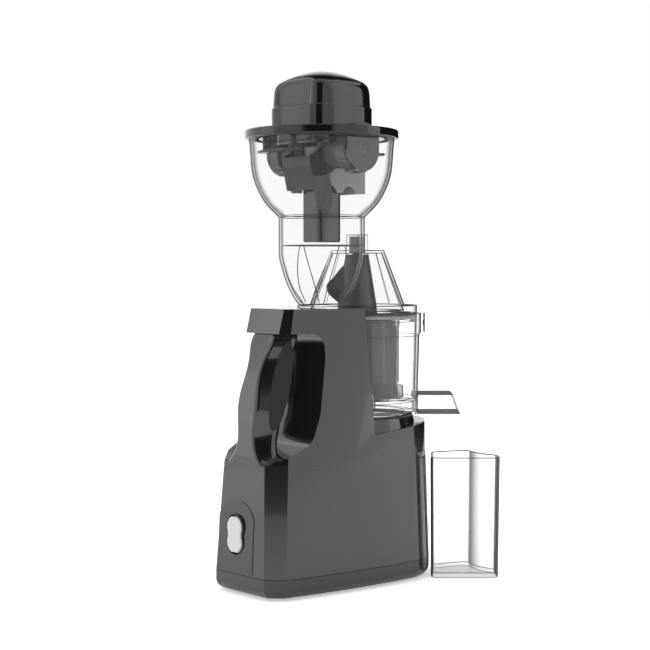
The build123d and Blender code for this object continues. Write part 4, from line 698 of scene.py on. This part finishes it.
def hopperRibLines(ribs):
    # the egg's inner profile, read at even steps down and smoothed, then turned to each bearing with a twist
    radius, height = zip(*ribs["profile"])
    heights = np.linspace(ribs["ledgeHeight"], height[-1], ribs["steps"])
    reach = np.interp(-heights, -np.array(height), radius)
    window = ribs["smoothing"]
    reach = np.convolve(np.pad(reach, window // 2, "edge"), np.ones(window) / window, "valid")
    lines = []
    for i in range(ribs["count"]):
        bearing = np.radians(ribs["start"] + 360 / ribs["count"] * i)
        bearing = bearing + ribs["twist"] * (ribs["ledgeHeight"] - heights)
        x, y = ribs["centreX"] + reach * np.cos(bearing), reach * np.sin(bearing)
        lines += pathLine(np.stack([x, y, heights], -1))
    return lines + circleLine(ribs["ledgeRadius"], ribs["ledgeHeight"], ribs["centreX"])


# dark tubes along the cone's flutes: the flutes are real, their dark colour is painted shade from refraction
coneFlutes = {
    "count": 16,
    "radius": 0.0003,
    "sides": 6,
    "low": (46.0, 276.0),
    "high": (26.6, 327.0),
}


def coneFluteLines(cone):
    # straight shallow ribs down the inside of the auger's cone, evenly spaced
    lines = []
    for i in range(cone["count"]):
        bearing = 2 * np.pi * i / cone["count"]
        c, s = np.cos(bearing), np.sin(bearing)
        (lowR, lowZ), (highR, highZ) = cone["low"], cone["high"]
        lines += pathLine([(lowR * c, lowR * s, lowZ), (highR * c, highR * s, highZ)])
    return lines


# the cup's upright corners: the plan at its floor and at its rim, outside and inside the wall
cupCorners = {
    "outsideLow": ((49.3, -57.4), (76.0, -32.3), (98.9, -102.7), (106.8, -93.7)),
    "outsideHigh": ((48.6, -57.0), (75.9, -31.1), (99.8, -103.8), (108.1, -94.6)),
    "insideLow": ((50.4, -58.1), (76.1, -34.2), (97.4, -100.9), (104.9, -92.1)),
    "insideHigh": ((49.7, -57.7), (76.0, -33.0), (98.3, -102.0), (106.1, -93.1)),
    "low": 1.0,
    "high": 120.4,
    "radius": 0.00075,
    "sides": 8,
    "shares": (0.25, 0.75),  # of the wall, from its outside
}


def cupCornerLines(corners):
    # two dark lines in each corner, inside the wall: painted shade standing in for the dark lines refraction
    # draws in the cup's corners
    lines = []
    for share in corners["shares"]:
        low = np.array(corners["outsideLow"]) * (1 - share) + np.array(corners["insideLow"]) * share
        high = np.array(corners["outsideHigh"]) * (1 - share) + np.array(corners["insideHigh"]) * share
        for (lowX, lowY), (highX, highY) in zip(low, high):
            lines += pathLine([(lowX, lowY, corners["low"]), (highX, highY, corners["high"])])
    return lines


# dark tubes along the sharp edges of the clear pieces: painted shade standing in for the dark lines
# refraction draws at those edges
shadeLineSides = 6
edgeShadeLines = {
    "hopperEdgeShade": {"nodes": ("hopper", "hopper_mouth"), "body": "feed_hopper", "radius": 0.00036},
    "bowlEdgeShade": {"nodes": ("juicing_bowl", "pulp_duct", "juice_spout"), "body": "bowl", "radius": 0.00036},
    "cupEdgeShade": {"nodes": ("pulp_cup",), "body": "cup", "radius": 0.0004},
}
for name, shadeLine in edgeShadeLines.items():
    lines = [line for node in shadeLine["nodes"] for line in sharpLines(node)]
    piece = tubeMesh(name, lines, shadeLine["radius"], shadeLineSides, "edge")
    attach(piece, shadeLine["body"])
    print("edgeShadeLines", name, len(lines))

# ribs, flutes and cup corners drawn as dark tubes: painted shade, over real ribs and flutes where the hopper
# has them
paintedShadeLines = {
    "hopperRibs": {"lines": hopperRibLines(hopperRibs), "size": hopperRibs,
                   "look": "edge", "body": "feed_hopper"},
    "coneFlutes": {"lines": coneFluteLines(coneFlutes), "size": coneFlutes,
                   "look": "edge", "body": "feed_hopper"},
    "cupCorners": {"lines": cupCornerLines(cupCorners), "size": cupCorners,
                   "look": "cupCornerShade", "body": "cup"},
}
for name, shadeLineSet in paintedShadeLines.items():
    size = shadeLineSet["size"]
    piece = tubeMesh(name, shadeLineSet["lines"], size["radius"], size["sides"], shadeLineSet["look"])
    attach(piece, shadeLineSet["body"])
    print("made", name)

cageSleeve = {
    "radius": 42.4,
    "low": 196.0,
    "high": 253.0,
    "rows": 3,
    "columns": 128,
}


def makeCageSleeve(sleeve):
    # a plain cylinder between the posts of the wiper cage
    angle = np.linspace(0, 2 * np.pi, sleeve["columns"], endpoint=False)
    heights = np.linspace(sleeve["low"], sleeve["high"], sleeve["rows"])[:, None]
    flat = heights * 0
    return np.stack([flat + sleeve["radius"] * np.cos(angle), flat + sleeve["radius"] * np.sin(angle),
                     heights + 0 * angle], -1)


sleevePiece = gridPiece("cageSleeve", makeCageSleeve(cageSleeve), "cage")
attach(sleevePiece, "wiper_cage")
print("cage sleeve made")
